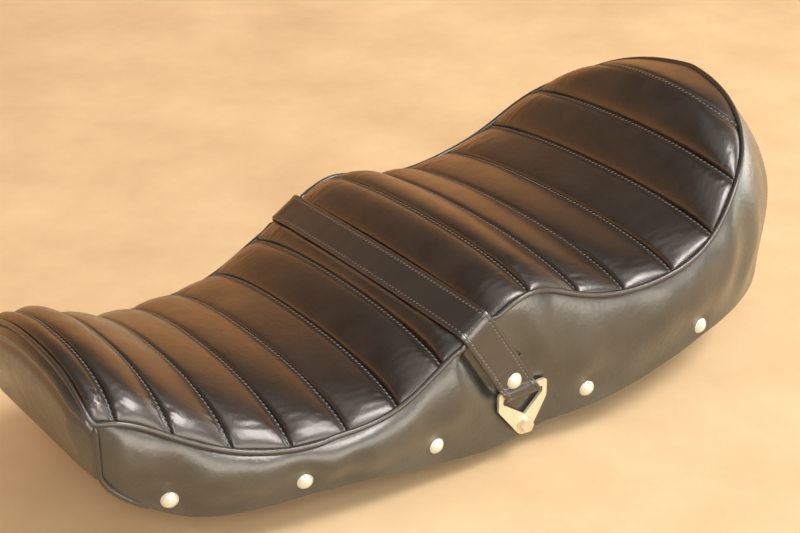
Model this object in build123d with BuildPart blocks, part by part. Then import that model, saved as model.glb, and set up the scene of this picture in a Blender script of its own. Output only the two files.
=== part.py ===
"""Dual seat of a motorcycle, with the hinge brackets that carry it, in millimetres.

+X points forward, +Y to the left side and +Z up. The origin is the middle of the
four bolt holes in the hinge brackets, on the underside of their feet.
The seat swings up about a line along X at its right edge.
"""
import os
from math import cos, radians, sin, sqrt, tan

from build123d import *

os.makedirs("parts", exist_ok=True)

# Frame of the seat above the hinge feet
mid_y = 76.0                # middle plane of the seat, left of the bolt holes
datum_z = 94.0              # seat datum above the feet

# Cover, foam and pan
cover_t = 2.0               # leather of the skirt
pan_t = 1.6                 # pressed steel
welt_proud = 2.5            # how far the piping stands out of the skirt
welt_above = 1.5            # piping above the edge of the top panel
welt_below = 3.5            # piping below that edge
nose_t = 4.0                # how far back the piping's arch over the nose reaches
flange_lift = 1.5           # pan flange above the skirt's hem
puff = 3.0                  # rise of a channel above its seams
shoulder_r = 8.0            # round between the crown and the sides of the top panel
shoulder_slope = 60.0       # slope at which that round meets the piping, degrees
reach = 185.0               # half the width of the blocks that the envelope trims
deep = -200.0               # floor of those blocks, from the datum
tall = 420.0                # height of blocks that reach past the seat on both sides

# Plan outline: half widths of the sides, shared by every level
front_x = 325.0
front_half = 86.0
front_arc = ((256.0, 108.5), (190.0, 128.5))       # via, end
thigh_arc = ((120.0, 137.0), (45.0, 136.0))        # via, end
waist_x = -45.0             # the side is straight, parallel to x, from the thigh to here
waist_half = thigh_arc[1][1]
hip_arc = ((-104.0, 147.5), (-160.0, 151.8))        # via, end

# Plan outline: the tail at three levels, height then shoulder, corner, quarter, tail x
tail_levels = (
    (112.0, (-222.0, 130.0), (-270.5, 92.0), (-300.0, 48.0), -314.5),
    (10.0, (-236.0, 141.0), (-311.0, 100.0), (-350.0, 52.0), -363.0),
    (-115.0, (-230.0, 140.5), (-299.0, 100.0), (-335.0, 52.0), -347.0),
)

# Seams of the top panel: x, half width, edge height, rise of the crown
seams = (
    (330.0, 86.0, 6.0, 27.0),
    (310.5, 89.0, 5.1, 29.5),
    (272.9, 101.7, -13.1, 33.6),
    (232.6, 116.0, -33.0, 33.0),
    (190.1, 128.3, -41.2, 29.8),
    (145.2, 135.8, -41.5, 24.6),
    (100.6, 137.6, -35.0, 20.8),
    (59.0, 137.0, -13.9, 18.4),
    (18.0, 136.0, 8.5, 14.0),
    (-23.9, 136.5, 25.0, 14.2),
    (-69.3, 142.2, 13.3, 18.6),
    (-111.5, 149.4, 5.5, 19.8),
    (-160.4, 151.8, 9.2, 17.6),
    (-207.3, 145.5, 26.9, 15.5),
    (-247.0, 128.0, 57.0, 16.0),
    (-286.0, 92.0, 82.0, 23.5),
    (-335.0, 62.0, 86.0, 12.0),
)

# Side view: x and height of the piping behind the last seam that ends on the side
tail_piping = ((-270.0, 70.0), (-285.0, 79.0), (-300.0, 90.0), (-312.0, 96.5), (-326.0, 100.0),
               (-380.0, 102.0))
side_seams = 15             # seams that end on the side, the nose's edge included

# Side view: x and height of the skirt's hem and of the pan's web
hem_line = (
    (340.0, -30.0), (325.0, -38.0), (316.0, -48.0), (293.0, -67.0), (265.0, -81.0),
    (190.0, -84.0), (90.0, -91.0), (0.0, -102.0), (-35.0, -98.0), (-99.0, -88.0),
    (-158.0, -73.0), (-205.0, -61.0), (-260.0, -56.0), (-380.0, -57.0),
)
web_line = (
    (340.0, -16.0), (325.0, -22.0), (270.0, -50.0), (190.0, -60.0), (0.0, -64.0),
    (-110.0, -56.0), (-205.0, -35.0), (-300.0, -28.0), (-380.0, -28.0),
)

# Strap across the seat
strap_w = 29.6
strap_t = 2.5
strap_x = 23.6              # its middle, where it crosses the welt
strap_z = 5.7
strap_lean = 32.0           # its sides lean rearward going down, degrees
strap_gap = 0.3             # between its inner face and the skirt
strap_half = waist_half + strap_gap
strap_spring = 0.0          # start of the bend over the welt, from the welt's edge
strap_rise = 12.0           # from that start to the crown
strap_bend = 8.0            # radius over the welt
loop_top = -30.0            # start of the doubled end, from the datum
loop_ramp = 6.0             # height over which the doubled end thickens
bar_z = -56.0               # middle of the plate's top bar
bar_h = 6.0
loop_step = 1.2             # height over which the outer layer steps over the bar

# Plates that anchor the strap
plate_t = 2.5
plate_x = -17.5             # its middle line
plate_w = 48.0
plate_side = 18.0           # straight sides below the top edge
plate_corner = 3.0
plate_foot = (-20.0, -88.0)  # the bolt's x and height
plate_foot_r = 9.0
window_w = 39.5
window_side = 4.5           # its straight sides, under the top bar
window_drop = 20.0

# Bolts, rivets and studs
bolt_r = 3.0
bolt_head_r = 5.8
bolt_head_h = 4.0
washer_r = 7.5
washer_t = 1.2
nut_h = 5.0
hole_l = 30.0               # length of the tools that cut the bolt holes
hole_play = 0.1
stud_r = 7.0
stud_h = 4.4
rivet_r = 1.8
clinch_r = 3.2
clinch_t = 1.0
clinch_gap = 0.3            # left by the flange's curve
rivet_l = 24.0              # length of the tools that cut the rivet holes
skirt_studs = ((276.6, -65.3), (179.8, -71.0), (64.5, -79.4), (-81.6, -75.0), (-199.5, -52.0))
strap_stud_z = -44.9

# Hinge on the right edge
hinge_x = 105.0             # of each bracket, either side of the origin
hinge_out = 36.0            # axis outboard of the bolt holes
axis_z = 14.0               # axis above the feet
pin_r = 4.0
pin_play = 0.05
knuckle_r = 7.5
knuckle_w = 24.0
side_play = 0.3             # between an ear and the knuckle
ear_t = 4.0
ear_r = 8.5
foot_t = 4.0
foot_y = 42.0
foot_corner = 3.0
foot_gap = 24.0             # between the two bolt holes of a foot
foot_hole_r = 3.3
ear_base = 12.0             # how far an ear's base runs along the foot
arm_t = 4.0
arm_run = 44.0              # length of the arm along the web
arm_rise = 60.0             # height of the blank that the web's line trims
pin_head_r = 6.5
pin_head_t = 2.5

# Under the pan
bumpers = ((220.0, -78.0), (-150.0, -66.0))        # x and height of the rail they meet
bumper_y = 76.0
bumper_r = 13.0
bumper_lip_r = 9.0
bumper_lip = 8.0            # height of its cone
bumper_rise = 40.0          # height of the blank that the web's line trims
rib_w = 9.0
rib_h = 5.0
rib_y = (-40.0, 40.0)
rib_end = 285.0
rib_x = (250.0, 40.0, -40.0, -230.0)
rib_half = 70.0
drain_r = 8.0
drain_x = (180.0, 0.0, -180.0)
striker_x = 0.0
striker_y = 100.0
striker_r = 4.0
striker_w = 36.0
striker_low = -98.0         # middle of the rod's lowest run
striker_bend = 10.0
striker_leg = 60.0          # length of its legs before the web's line trims them
striker_base = (60.0, 18.0, 3.0)
striker_corner = 4.0
binding_w = 6.0
binding_t = 1.6


def level(z):
    """Horizontal plane at a height above the datum, on the seat's middle plane."""
    return Plane(origin=(0, mid_y, datum_z + z))


def station(x):
    """Plane across the seat at x: its x runs left and its y runs up."""
    return Plane(origin=(x, mid_y, datum_z), x_dir=(0, 1, 0), z_dir=(1, 0, 0))


side_view = Plane(origin=(0, mid_y, datum_z), x_dir=(1, 0, 0), z_dir=(0, -1, 0))
middle_plane = Plane(origin=(0, mid_y, 0), z_dir=(0, 1, 0))


def mirrored(part):
    """The same piece on the seat's other side."""
    return mirror(part, about=middle_plane)


def plan_sketch(z, shoulder, corner, quarter, tail_x, grow):
    """Outline of the seat from above at one level, moved outward by grow."""
    def out(point):
        return (point[0], point[1] + grow)

    with BuildSketch(level(z)) as outline:
        with BuildLine():
            front = (front_x + grow, front_half + grow)
            Line((front[0], 0), front)
            ThreePointArc(front, out(front_arc[0]), out(front_arc[1]))
            ThreePointArc(out(front_arc[1]), out(thigh_arc[0]), out(thigh_arc[1]))
            waist = (waist_x, waist_half + grow)
            Line(out(thigh_arc[1]), waist)
            ThreePointArc(waist, out(hip_arc[0]), out(hip_arc[1]))
            ThreePointArc(out(hip_arc[1]), (shoulder[0] - grow / 3, shoulder[1] + grow),
                          (corner[0] - 0.7 * grow, corner[1] + 0.7 * grow))
            ThreePointArc((corner[0] - 0.7 * grow, corner[1] + 0.7 * grow),
                          (quarter[0] - 0.9 * grow, quarter[1] + 0.4 * grow),
                          (tail_x - grow, 0))
            mirror(about=Plane.XZ)
        make_face()
    return outline.sketch


def envelope(grow):
    """The seat's side walls as a solid block, lofted through the three levels."""
    with BuildPart() as block:
        loft([plan_sketch(*row, grow) for row in tail_levels])
    return block.part


def crown_sketch(x, half, edge_z, rise, lift):
    """Block across the seat: the crown at x, in three arcs, with tangent lines past its edges.

    The shoulder's arc ends at the edge at shoulder_slope, and touches the long arc from
    inside: the centres stand apart by the difference of the radii.
    """
    slope = radians(shoulder_slope)
    edge_z += lift
    centre_y = half - shoulder_r * sin(slope)
    drop = rise + shoulder_r * cos(slope)                 # from the top to that centre
    crown_r = (centre_y ** 2 + drop ** 2 - shoulder_r ** 2) / (2 * (drop - shoulder_r))
    share = crown_r / (crown_r - shoulder_r)
    touch = (centre_y * share, edge_z + rise - crown_r + (crown_r - drop) * share)
    low = edge_z - (reach - half) * tan(slope)
    with BuildSketch(station(x)) as face:
        with BuildLine():
            Line((reach, low), (half, edge_z))
            RadiusArc((half, edge_z), touch, -shoulder_r)
            ThreePointArc(touch, (0, edge_z + rise), (-touch[0], touch[1]))
            RadiusArc((-touch[0], touch[1]), (-half, edge_z), -shoulder_r)
            Polyline((-half, edge_z), (-reach, low), (-reach, deep), (reach, deep), (reach, low))
        make_face()
    return face.sketch


def middle_of(first, second):
    """Values halfway between two rows of the seam table."""
    return [(a + b) / 2 for a, b in zip(first, second)]


def crown_block(lift, puffed):
    """Everything under the top panel; puffed gives each channel its own rise."""
    with BuildPart() as block:
        for first, second in zip(seams, seams[1:]):
            middle = middle_of(first, second)
            middle[3] += puff if puffed else 0
            rows = (first, middle, second) if puffed else (first, second)
            loft([crown_sketch(*row, lift) for row in rows])
    return block.part


def below(line, lift):
    """Everything below a smooth line of the side view, across the whole seat."""
    points = [(x, z + lift) for x, z in line]
    with BuildPart() as block:
        with BuildSketch(side_view):
            with BuildLine():
                Spline(*points)
                Polyline(points[-1], (points[-1][0], deep), (points[0][0], deep), points[0])
            make_face()
        extrude(amount=reach, both=True)
    return block.part


def rim_block(lift):
    """Everything under the piping line: level across the sides, arched over the nose."""
    line = [(x, edge_z) for x, _, edge_z, _ in seams[:side_seams]]
    with BuildPart() as block:
        add(crown_block(lift, False))
        with BuildSketch(station(front_x - nose_t)):
            Rectangle(tall, tall)
        extrude(amount=-tall * 2, mode=Mode.SUBTRACT)
        add(below(line + list(tail_piping), lift))
    return block.part


lean = radians(strap_lean)
strap_axis = (cos(lean), 0, -sin(lean))
strap_plane = Plane(origin=(strap_x, mid_y, datum_z + strap_z), x_dir=(0, 1, 0),
                    z_dir=strap_axis)


def arch_block(grow, width):
    """Solid under the strap's inner face: a three-centred arch with straight legs.

    Growing it by the strap's thickness gives the outer face.
    """
    half = strap_half + grow
    rise = strap_rise + grow
    bend = strap_bend + grow
    crown_r = ((half - bend) ** 2 + rise ** 2 - bend ** 2) / (2 * (rise - bend))
    run = sqrt((half - bend) ** 2 + (crown_r - rise) ** 2)
    touch = (half - bend + bend * (half - bend) / run,
             strap_spring + bend * (crown_r - rise) / run)
    across = (-touch[0], touch[1])
    with BuildPart() as block:
        with BuildSketch(strap_plane):
            with BuildLine():
                Line((half, deep), (half, strap_spring))
                RadiusArc((half, strap_spring), touch, -bend)
                ThreePointArc(touch, (0, strap_spring + rise), across)
                RadiusArc(across, (-half, strap_spring), -bend)
                Line((-half, strap_spring), (-half, deep))
                Line((-half, deep), (half, deep))
            make_face()
        extrude(amount=width / 2, both=True)
    return block.part


def strap_slab(width):
    """Slab that holds the strap, across the whole seat."""
    with BuildPart() as block:
        with BuildSketch(strap_plane):
            Rectangle(2 * reach, tall)
        extrude(amount=width / 2, both=True)
    return block.part


print("envelopes")
outer = envelope(0)
inner = envelope(-cover_t)
pan_inner = envelope(-cover_t - pan_t)
rim_top = rim_block(welt_above)
rim_low = rim_block(-welt_below)
strap_bed = strap_slab(strap_w + 1.0) - arch_block(0, strap_w + 1.0)


def skin_point(x, z):
    """Point of the skirt's outer face at x and height z, on the left side."""
    ray = Edge.make_line((x, mid_y, datum_z + z), (x, mid_y + 2 * reach, datum_z + z))
    return (ray & outer).edges().sort_by(SortBy.LENGTH)[-1].vertices().sort_by(Axis.Y)[-1].center()


def skin_plane(x, z):
    """Plane on the skirt's outer face, facing outward from the left side."""
    step = 2.0
    here = skin_point(x, z)
    along = skin_point(x + step, z) - here
    up = skin_point(x, z + step) - here
    return Plane(origin=here, x_dir=along, z_dir=up.cross(along))


# Foam and top panel, with the sewn channels
print("cushion")
with BuildPart() as cushion:
    add(inner)
    add(crown_block(0, True), mode=Mode.INTERSECT)
    add(below(web_line, 0), mode=Mode.SUBTRACT)
    add(strap_bed, mode=Mode.SUBTRACT)

# Skirt of the cover, hung from the piping
print("skirt")
with BuildPart() as skirt:
    add(outer)
    add(inner, mode=Mode.SUBTRACT)
    add(rim_low, mode=Mode.INTERSECT)
    add(below(hem_line, 0), mode=Mode.SUBTRACT)

# Piping between the top panel and the skirt
print("welt")
with BuildPart() as welt:
    add(envelope(welt_proud))
    add(inner, mode=Mode.SUBTRACT)
    add(rim_top, mode=Mode.INTERSECT)
    add(rim_low, mode=Mode.SUBTRACT)
    add(strap_bed, mode=Mode.SUBTRACT)


def rib_bars(height):
    """Strips under the web, lengthwise and crosswise, down to a depth below it."""
    with BuildPart() as bars:
        with BuildSketch(level(deep)):
            with Locations(*[(0, y) for y in rib_y]):
                Rectangle(2 * rib_end, rib_w)
            with Locations(*[(x, 0) for x in rib_x]):
                Rectangle(rib_w, 2 * rib_half)
        extrude(amount=-deep)
        add(below(web_line, -pan_t), mode=Mode.INTERSECT)
        add(below(web_line, -pan_t - height), mode=Mode.SUBTRACT)
    return bars.part


def pan_cavity():
    """Space inside the flange, under the web."""
    with BuildPart() as cavity:
        add(pan_inner)
        add(below(web_line, -pan_t), mode=Mode.INTERSECT)
    return cavity.part


# Pressed pan: a web under the foam, stiffening beads and a flange inside the skirt
print("pan")
with BuildPart() as seat_pan:
    add(inner)
    add(below(web_line, 0), mode=Mode.INTERSECT)
    add(below(hem_line, flange_lift), mode=Mode.SUBTRACT)
    add(pan_cavity(), mode=Mode.SUBTRACT)
    add(rib_bars(rib_h))
    with BuildSketch(level(deep)):
        with Locations(*[(x, 0) for x in drain_x]):
            Circle(drain_r)
    extrude(amount=-deep, mode=Mode.SUBTRACT)

def front_window():
    """What the bound edge leaves open on the front panel."""
    with BuildPart() as window:
        with BuildSketch(station(front_x - 1)):
            Rectangle(2 * (front_half - binding_w), tall)
        extrude(amount=binding_t + 2)
        add(crown_block(-welt_below - binding_w, False), mode=Mode.INTERSECT)
        add(below(hem_line, binding_w), mode=Mode.SUBTRACT)
    return window.part


# Bound edge of the front panel
with BuildPart() as front_binding:
    with BuildSketch(station(front_x)):
        Rectangle(2 * (front_half + welt_proud), tall)
    extrude(amount=binding_t)
    add(crown_block(-welt_below - hole_play, False), mode=Mode.INTERSECT)
    add(below(hem_line, 0), mode=Mode.SUBTRACT)
    add(front_window(), mode=Mode.SUBTRACT)

# Strap: an arch over the seat, each end doubled round the top bar of its plate
strap_end_z = bar_z - bar_h / 2 - hole_play


def doubled_end():
    """One doubled end of the strap, cut to the strap's leaning sides."""
    thick = 2 * strap_t + plate_t
    with BuildPart() as end:
        with BuildSketch(station(-2 * strap_w)):
            with BuildLine():
                Polyline((strap_half, strap_end_z), (strap_half, loop_top),
                         (strap_half + strap_t, loop_top),
                         (strap_half + 2 * strap_t, loop_top - loop_ramp),
                         (strap_half + 2 * strap_t, bar_z + bar_h / 2 + loop_step),
                         (strap_half + thick, bar_z + bar_h / 2),
                         (strap_half + thick, strap_end_z))
                ThreePointArc((strap_half + thick, strap_end_z),
                              (strap_half + thick / 2, strap_end_z - thick / 2),
                              (strap_half, strap_end_z))
            make_face()
            with Locations((strap_half + strap_t + plate_t / 2, bar_z)):
                Rectangle(plate_t + 2 * hole_play, bar_h + 2 * hole_play, mode=Mode.SUBTRACT)
        extrude(amount=4 * strap_w)
        add(strap_slab(strap_w), mode=Mode.INTERSECT)
    return end.part


print("strap")
with BuildPart() as strap:
    add(arch_block(strap_t, strap_w))
    add(arch_block(0, strap_w), mode=Mode.SUBTRACT)
    with BuildSketch(level(loop_top)):
        Rectangle(4 * reach, 4 * reach)
    extrude(amount=deep, mode=Mode.SUBTRACT)
    add(doubled_end())
    add(mirrored(doubled_end()))

# Plates, bolts and rivets of the left side, mirrored to the right
plate_y = strap_half + strap_t
left_plane = Plane(origin=(0, mid_y + plate_y, datum_z), x_dir=(-1, 0, 0), z_dir=(0, 1, 0))

with BuildPart() as strap_plate_left:
    with BuildSketch(left_plane):
        with Locations((-plate_x, bar_z + bar_h / 2 - plate_side / 2)):
            RectangleRounded(plate_w, plate_side, plate_corner)
        with Locations((-plate_foot[0], plate_foot[1])):
            Circle(plate_foot_r)
        make_hull()
        with BuildLine():
            under_bar = bar_z - bar_h / 2
            left, right = -plate_x - window_w / 2, -plate_x + window_w / 2
            Polyline((left, under_bar), (right, under_bar), (right, under_bar - window_side),
                     (-plate_foot[0], under_bar - window_drop),
                     (left, under_bar - window_side), close=True)
        make_face(mode=Mode.SUBTRACT)
        with Locations((-plate_foot[0], plate_foot[1])):
            Circle(bolt_r + hole_play, mode=Mode.SUBTRACT)
    extrude(amount=plate_t)

flange_y = waist_half - cover_t - pan_t
bolt_plane = Plane(origin=(plate_foot[0], mid_y, datum_z + plate_foot[1]), x_dir=(-1, 0, 0),
                   z_dir=(0, 1, 0))
with BuildPart() as strap_bolt_left:
    with BuildSketch(bolt_plane.offset(plate_y - strap_t - strap_gap)):
        Circle(washer_r)
    extrude(amount=strap_t + strap_gap)
    with BuildSketch(bolt_plane.offset(plate_y + plate_t)):
        Circle(washer_r)
    extrude(amount=washer_t)
    with BuildSketch(bolt_plane.offset(plate_y + plate_t + washer_t)):
        RegularPolygon(bolt_head_r, 6)
    extrude(amount=bolt_head_h)
    with BuildSketch(bolt_plane.offset(flange_y - nut_h)):
        RegularPolygon(bolt_head_r, 6)
    extrude(amount=nut_h)
    with BuildSketch(bolt_plane.offset(flange_y - nut_h)):
        Circle(bolt_r)
    extrude(amount=plate_y + plate_t - flange_y + nut_h)
with BuildPart() as bolt_hole:
    with BuildSketch(bolt_plane.offset(flange_y - nut_h)):
        Circle(bolt_r + hole_play)
    extrude(amount=hole_l)


def dome(plane):
    """Domed head of a rivet, standing on a plane."""
    radius = (stud_r ** 2 + stud_h ** 2) / (2 * stud_h)
    with BuildPart() as cap:
        with BuildSketch(plane):
            Circle(stud_r)
        extrude(amount=stud_h)
        with Locations(plane.offset(stud_h - radius)):
            Sphere(radius, mode=Mode.INTERSECT)
    return cap.part


def stud(plane, grip, clinch):
    """Domed rivet whose shank reaches through grip and ends in a clinched collar."""
    with BuildPart() as rivet:
        add(dome(plane))
        with BuildSketch(plane):
            Circle(rivet_r)
        extrude(amount=-grip)
        if clinch:
            with BuildSketch(plane.offset(-grip)):
                Circle(clinch_r)
            extrude(amount=-clinch_t)
    return rivet.part


def rivet_hole(plane):
    """Clearance hole for a rivet's shank."""
    with BuildPart() as hole:
        with BuildSketch(plane.offset(-rivet_l / 2)):
            Circle(rivet_r + hole_play)
        extrude(amount=rivet_l)
    return hole.part


print("studs")
stud_planes = [skin_plane(*place) for place in skirt_studs]
strap_stud_x = strap_x - (strap_z - strap_stud_z) * tan(lean)
strap_stud_plane = Plane(origin=(strap_stud_x, mid_y + strap_half + 2 * strap_t,
                                 datum_z + strap_stud_z), x_dir=(-1, 0, 0), z_dir=(0, 1, 0))
with BuildPart() as skirt_studs_left:
    for plane in stud_planes:
        add(stud(plane, cover_t + pan_t + clinch_gap, True))
with BuildPart() as strap_stud_left:
    add(stud(strap_stud_plane, 2 * strap_t, False))

holes = [rivet_hole(plane) for plane in stud_planes] + [bolt_hole.part]
for sheet in (skirt, seat_pan):
    with sheet:
        for hole in holes:
            add(hole, mode=Mode.SUBTRACT)
            add(mirrored(hole), mode=Mode.SUBTRACT)
with strap:
    add(rivet_hole(strap_stud_plane), mode=Mode.SUBTRACT)
    add(mirrored(rivet_hole(strap_stud_plane)), mode=Mode.SUBTRACT)

# Hinge: two brackets on the frame, a pin through each, and the arms under the pan
print("hinge")


def hinge_section(x):
    """Plane across the seat at x, with its origin on the hinge axis."""
    return Plane(origin=(x, -hinge_out, axis_z), x_dir=(0, 1, 0), z_dir=(1, 0, 0))


def bracket(x):
    """Foot with two bolt holes and two ears that hold the pin."""
    with BuildPart() as made:
        with BuildSketch(Plane(origin=(x, 0, 0))):
            RectangleRounded(knuckle_w + 2 * (side_play + ear_t), foot_y, foot_corner)
            with GridLocations(0, foot_gap, 1, 2):
                Circle(foot_hole_r, mode=Mode.SUBTRACT)
        extrude(amount=foot_t)
        for side in (-1, 1):
            inside = knuckle_w / 2 + side_play
            start = x + (inside if side > 0 else -inside - ear_t)
            with BuildSketch(hinge_section(start)):
                Circle(ear_r)
                with Locations((hinge_out - foot_y / 2 + ear_base / 2, -axis_z + foot_t / 2)):
                    Rectangle(ear_base, foot_t)
                make_hull()
                Circle(pin_r + pin_play, mode=Mode.SUBTRACT)
            extrude(amount=ear_t)
    return made.part


def pin(x):
    """Hinge pin with a head at one end and a washer and clip at the other."""
    half = knuckle_w / 2 + side_play + ear_t
    with BuildPart() as made:
        with BuildSketch(hinge_section(x - half)):
            Circle(pin_r)
        extrude(amount=2 * half)
        for start in (x - half - pin_head_t, x + half):
            with BuildSketch(hinge_section(start)):
                Circle(pin_head_r)
            extrude(amount=pin_head_t)
    return made.part


def arm_run_block(x):
    """The part of an arm that lies along the web."""
    with BuildPart() as run:
        with BuildSketch(hinge_section(x - knuckle_w / 2)):
            with Locations((-knuckle_r, 0)):
                Rectangle(arm_run, arm_rise, align=(Align.MIN, Align.MIN))
        extrude(amount=knuckle_w)
        add(below(web_line, -pan_t - arm_t), mode=Mode.SUBTRACT)
    return run.part


def arm(x):
    """Knuckle round the pin, with a leg up to the pan's web and a run along it."""
    with BuildPart() as made:
        with BuildSketch(hinge_section(x - knuckle_w / 2)):
            Circle(knuckle_r)
            with Locations((-knuckle_r, 0)):
                Rectangle(arm_t, arm_rise, align=(Align.MIN, Align.MIN))
        extrude(amount=knuckle_w)
        add(arm_run_block(x))
        add(below(web_line, -pan_t), mode=Mode.INTERSECT)
        with BuildSketch(hinge_section(x - knuckle_w / 2)):
            Circle(pin_r + pin_play)
        extrude(amount=knuckle_w, mode=Mode.SUBTRACT)
    return made.part


# Latch loop and rail bumpers
striker_plane = Plane(origin=(striker_x, mid_y + striker_y, 0))
rod_plane = Plane(origin=(striker_x, mid_y + striker_y, datum_z), x_dir=(1, 0, 0),
                  z_dir=(0, -1, 0))


def striker_pad():
    """Base plate of the latch loop, under the web."""
    with BuildPart() as pad:
        with BuildSketch(striker_plane):
            RectangleRounded(striker_base[0], striker_base[1], striker_corner)
        extrude(amount=datum_z)
        add(below(web_line, -pan_t - striker_base[2]), mode=Mode.SUBTRACT)
    return pad.part


with BuildPart() as latch_striker:
    with BuildLine(rod_plane) as rod:
        leg_top = striker_low + striker_leg
        FilletPolyline((-striker_w / 2, leg_top), (-striker_w / 2, striker_low),
                       (striker_w / 2, striker_low), (striker_w / 2, leg_top),
                       radius=striker_bend)
    with BuildSketch(Plane(origin=rod.line @ 0, z_dir=rod.line % 0)):
        Circle(striker_r)
    sweep()
    add(striker_pad())
    add(below(web_line, -pan_t), mode=Mode.INTERSECT)


def bumper_row(x, rail_z):
    """A left and right rubber foot under the web at x, down to the frame rail."""
    with BuildPart() as made:
        for side in (-1, 1):
            foot = Plane(origin=(x, mid_y + side * bumper_y, datum_z + rail_z))
            with BuildSketch(foot):
                Circle(bumper_lip_r)
            with BuildSketch(foot.offset(bumper_lip)):
                Circle(bumper_r)
            loft()
            with BuildSketch(foot.offset(bumper_lip)):
                Circle(bumper_r)
            extrude(amount=bumper_rise)
        add(below(web_line, -pan_t), mode=Mode.INTERSECT)
    return made.part


finished = {
    "cushion": cushion.part,
    "skirt": skirt.part,
    "welt": welt.part,
    "seat_pan": seat_pan.part,
    "front_binding": front_binding.part,
    "strap": strap.part,
    "strap_plate_left": strap_plate_left.part,
    "strap_plate_right": mirrored(strap_plate_left.part),
    "strap_bolt_left": strap_bolt_left.part,
    "strap_bolt_right": mirrored(strap_bolt_left.part),
    "strap_stud_left": strap_stud_left.part,
    "strap_stud_right": mirrored(strap_stud_left.part),
    "skirt_studs_left": skirt_studs_left.part,
    "skirt_studs_right": mirrored(skirt_studs_left.part),
    "hinge_bracket_front": bracket(hinge_x),
    "hinge_bracket_rear": bracket(-hinge_x),
    "hinge_pin_front": pin(hinge_x),
    "hinge_pin_rear": pin(-hinge_x),
    "hinge_arm_front": arm(hinge_x),
    "hinge_arm_rear": arm(-hinge_x),
    "latch_striker": latch_striker.part,
    "bumpers_front": bumper_row(*bumpers[0]),
    "bumpers_rear": bumper_row(*bumpers[1]),
}
for name, made in finished.items():
    made.label = name
    print(name, len(made.solids()), round(made.volume))
    export_step(made, f"parts/{name}.step")
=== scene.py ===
"""Looks of the dual seat: stitched top panel, piping, skirt, strap, metal finishes and the stage.

The seat's own frame is in millimetres, x forward, y left of its middle plane and z above its
datum. Every mesh is worked out there and then moved into the model's frame, in metres.
"""
import logging
import math
from dataclasses import dataclass
from enum import Enum
from typing import NamedTuple

import bpy
import numpy as np
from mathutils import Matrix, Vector


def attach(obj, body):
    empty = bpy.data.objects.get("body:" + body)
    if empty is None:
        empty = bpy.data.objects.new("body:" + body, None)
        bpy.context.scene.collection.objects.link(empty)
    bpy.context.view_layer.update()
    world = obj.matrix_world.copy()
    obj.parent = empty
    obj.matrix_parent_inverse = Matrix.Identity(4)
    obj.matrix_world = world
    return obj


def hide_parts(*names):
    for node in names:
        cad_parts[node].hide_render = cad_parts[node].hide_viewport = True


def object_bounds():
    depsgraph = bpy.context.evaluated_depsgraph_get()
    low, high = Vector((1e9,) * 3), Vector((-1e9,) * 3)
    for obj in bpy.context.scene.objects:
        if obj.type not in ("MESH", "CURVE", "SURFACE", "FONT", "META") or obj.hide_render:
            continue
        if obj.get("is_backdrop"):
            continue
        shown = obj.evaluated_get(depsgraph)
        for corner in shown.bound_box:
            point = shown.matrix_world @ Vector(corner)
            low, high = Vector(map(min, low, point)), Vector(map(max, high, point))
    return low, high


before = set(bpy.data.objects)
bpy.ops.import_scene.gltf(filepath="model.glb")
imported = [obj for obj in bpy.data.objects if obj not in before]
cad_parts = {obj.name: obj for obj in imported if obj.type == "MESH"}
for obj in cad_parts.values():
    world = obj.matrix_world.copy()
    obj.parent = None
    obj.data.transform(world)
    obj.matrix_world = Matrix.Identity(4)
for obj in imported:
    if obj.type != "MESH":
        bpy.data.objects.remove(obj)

logging.basicConfig(level=logging.INFO, format="%(message)s")
log = logging.getLogger("seat")

MM = 0.001

# Colour sockets of the Mix node, whose labels repeat for each kind of data
MIX_FIRST, MIX_SECOND, MIX_RESULT = 6, 7, 2

Pair = tuple[float, float]
Triple = tuple[float, float, float]
MeshParts = tuple[np.ndarray, list]


class Seam(NamedTuple):
    """One sewn line across the top: x at its ends, height of the edge, rise of the crown.

    Its middle lies bow further forward than its ends.
    """
    x: float
    edge: float
    rise: float
    bow: float = 0.0


class Station(NamedTuple):
    """One point of a line in the side view: x and height."""
    x: float
    z: float


class Level(NamedTuple):
    """Plan outline of the tail at one height: shoulder, corner and quarter points, tail x."""
    z: float
    shoulder: Pair
    corner: Pair
    quarter: Pair
    tail: float


class Noise(NamedTuple):
    """One noise texture: its scale, its detail and its roughness."""
    scale: float
    detail: float
    roughness: float = 0.55


class Rows(NamedTuple):
    """Rows of the top panel's grid: x of their ends, phase 0 to 1 through their roll.

    Groove, crease and tail are shares from 0 to 1.
    """
    x: np.ndarray
    phase: np.ndarray
    groove: np.ndarray
    crease: np.ndarray
    tail: np.ndarray


class Edge(Enum):
    """Rear and front edge of the strap, as the sign of the place across it."""
    REAR = -1.0
    FRONT = 1.0


def smooth_step(low: float, high: float, at: np.ndarray) -> np.ndarray:
    """Cubic step: 0 up to low, 1 from high on, 3s^2 - 2s^3 between.

    Args:
        low: where the step starts.
        high: where it ends.
        at: values to look up.

    Returns:
        The step's height at each value.
    """
    share = np.clip((np.asarray(at, float) - low) / (high - low), 0.0, 1.0)
    return share * share * (3.0 - 2.0 * share)


def bell(at: np.ndarray, middle: float, width: float) -> np.ndarray:
    """Bell curve exp(-((at - middle) / width)^2), 1 at its middle."""
    return np.exp(-((np.asarray(at, float) - middle) / width) ** 2)


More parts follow.
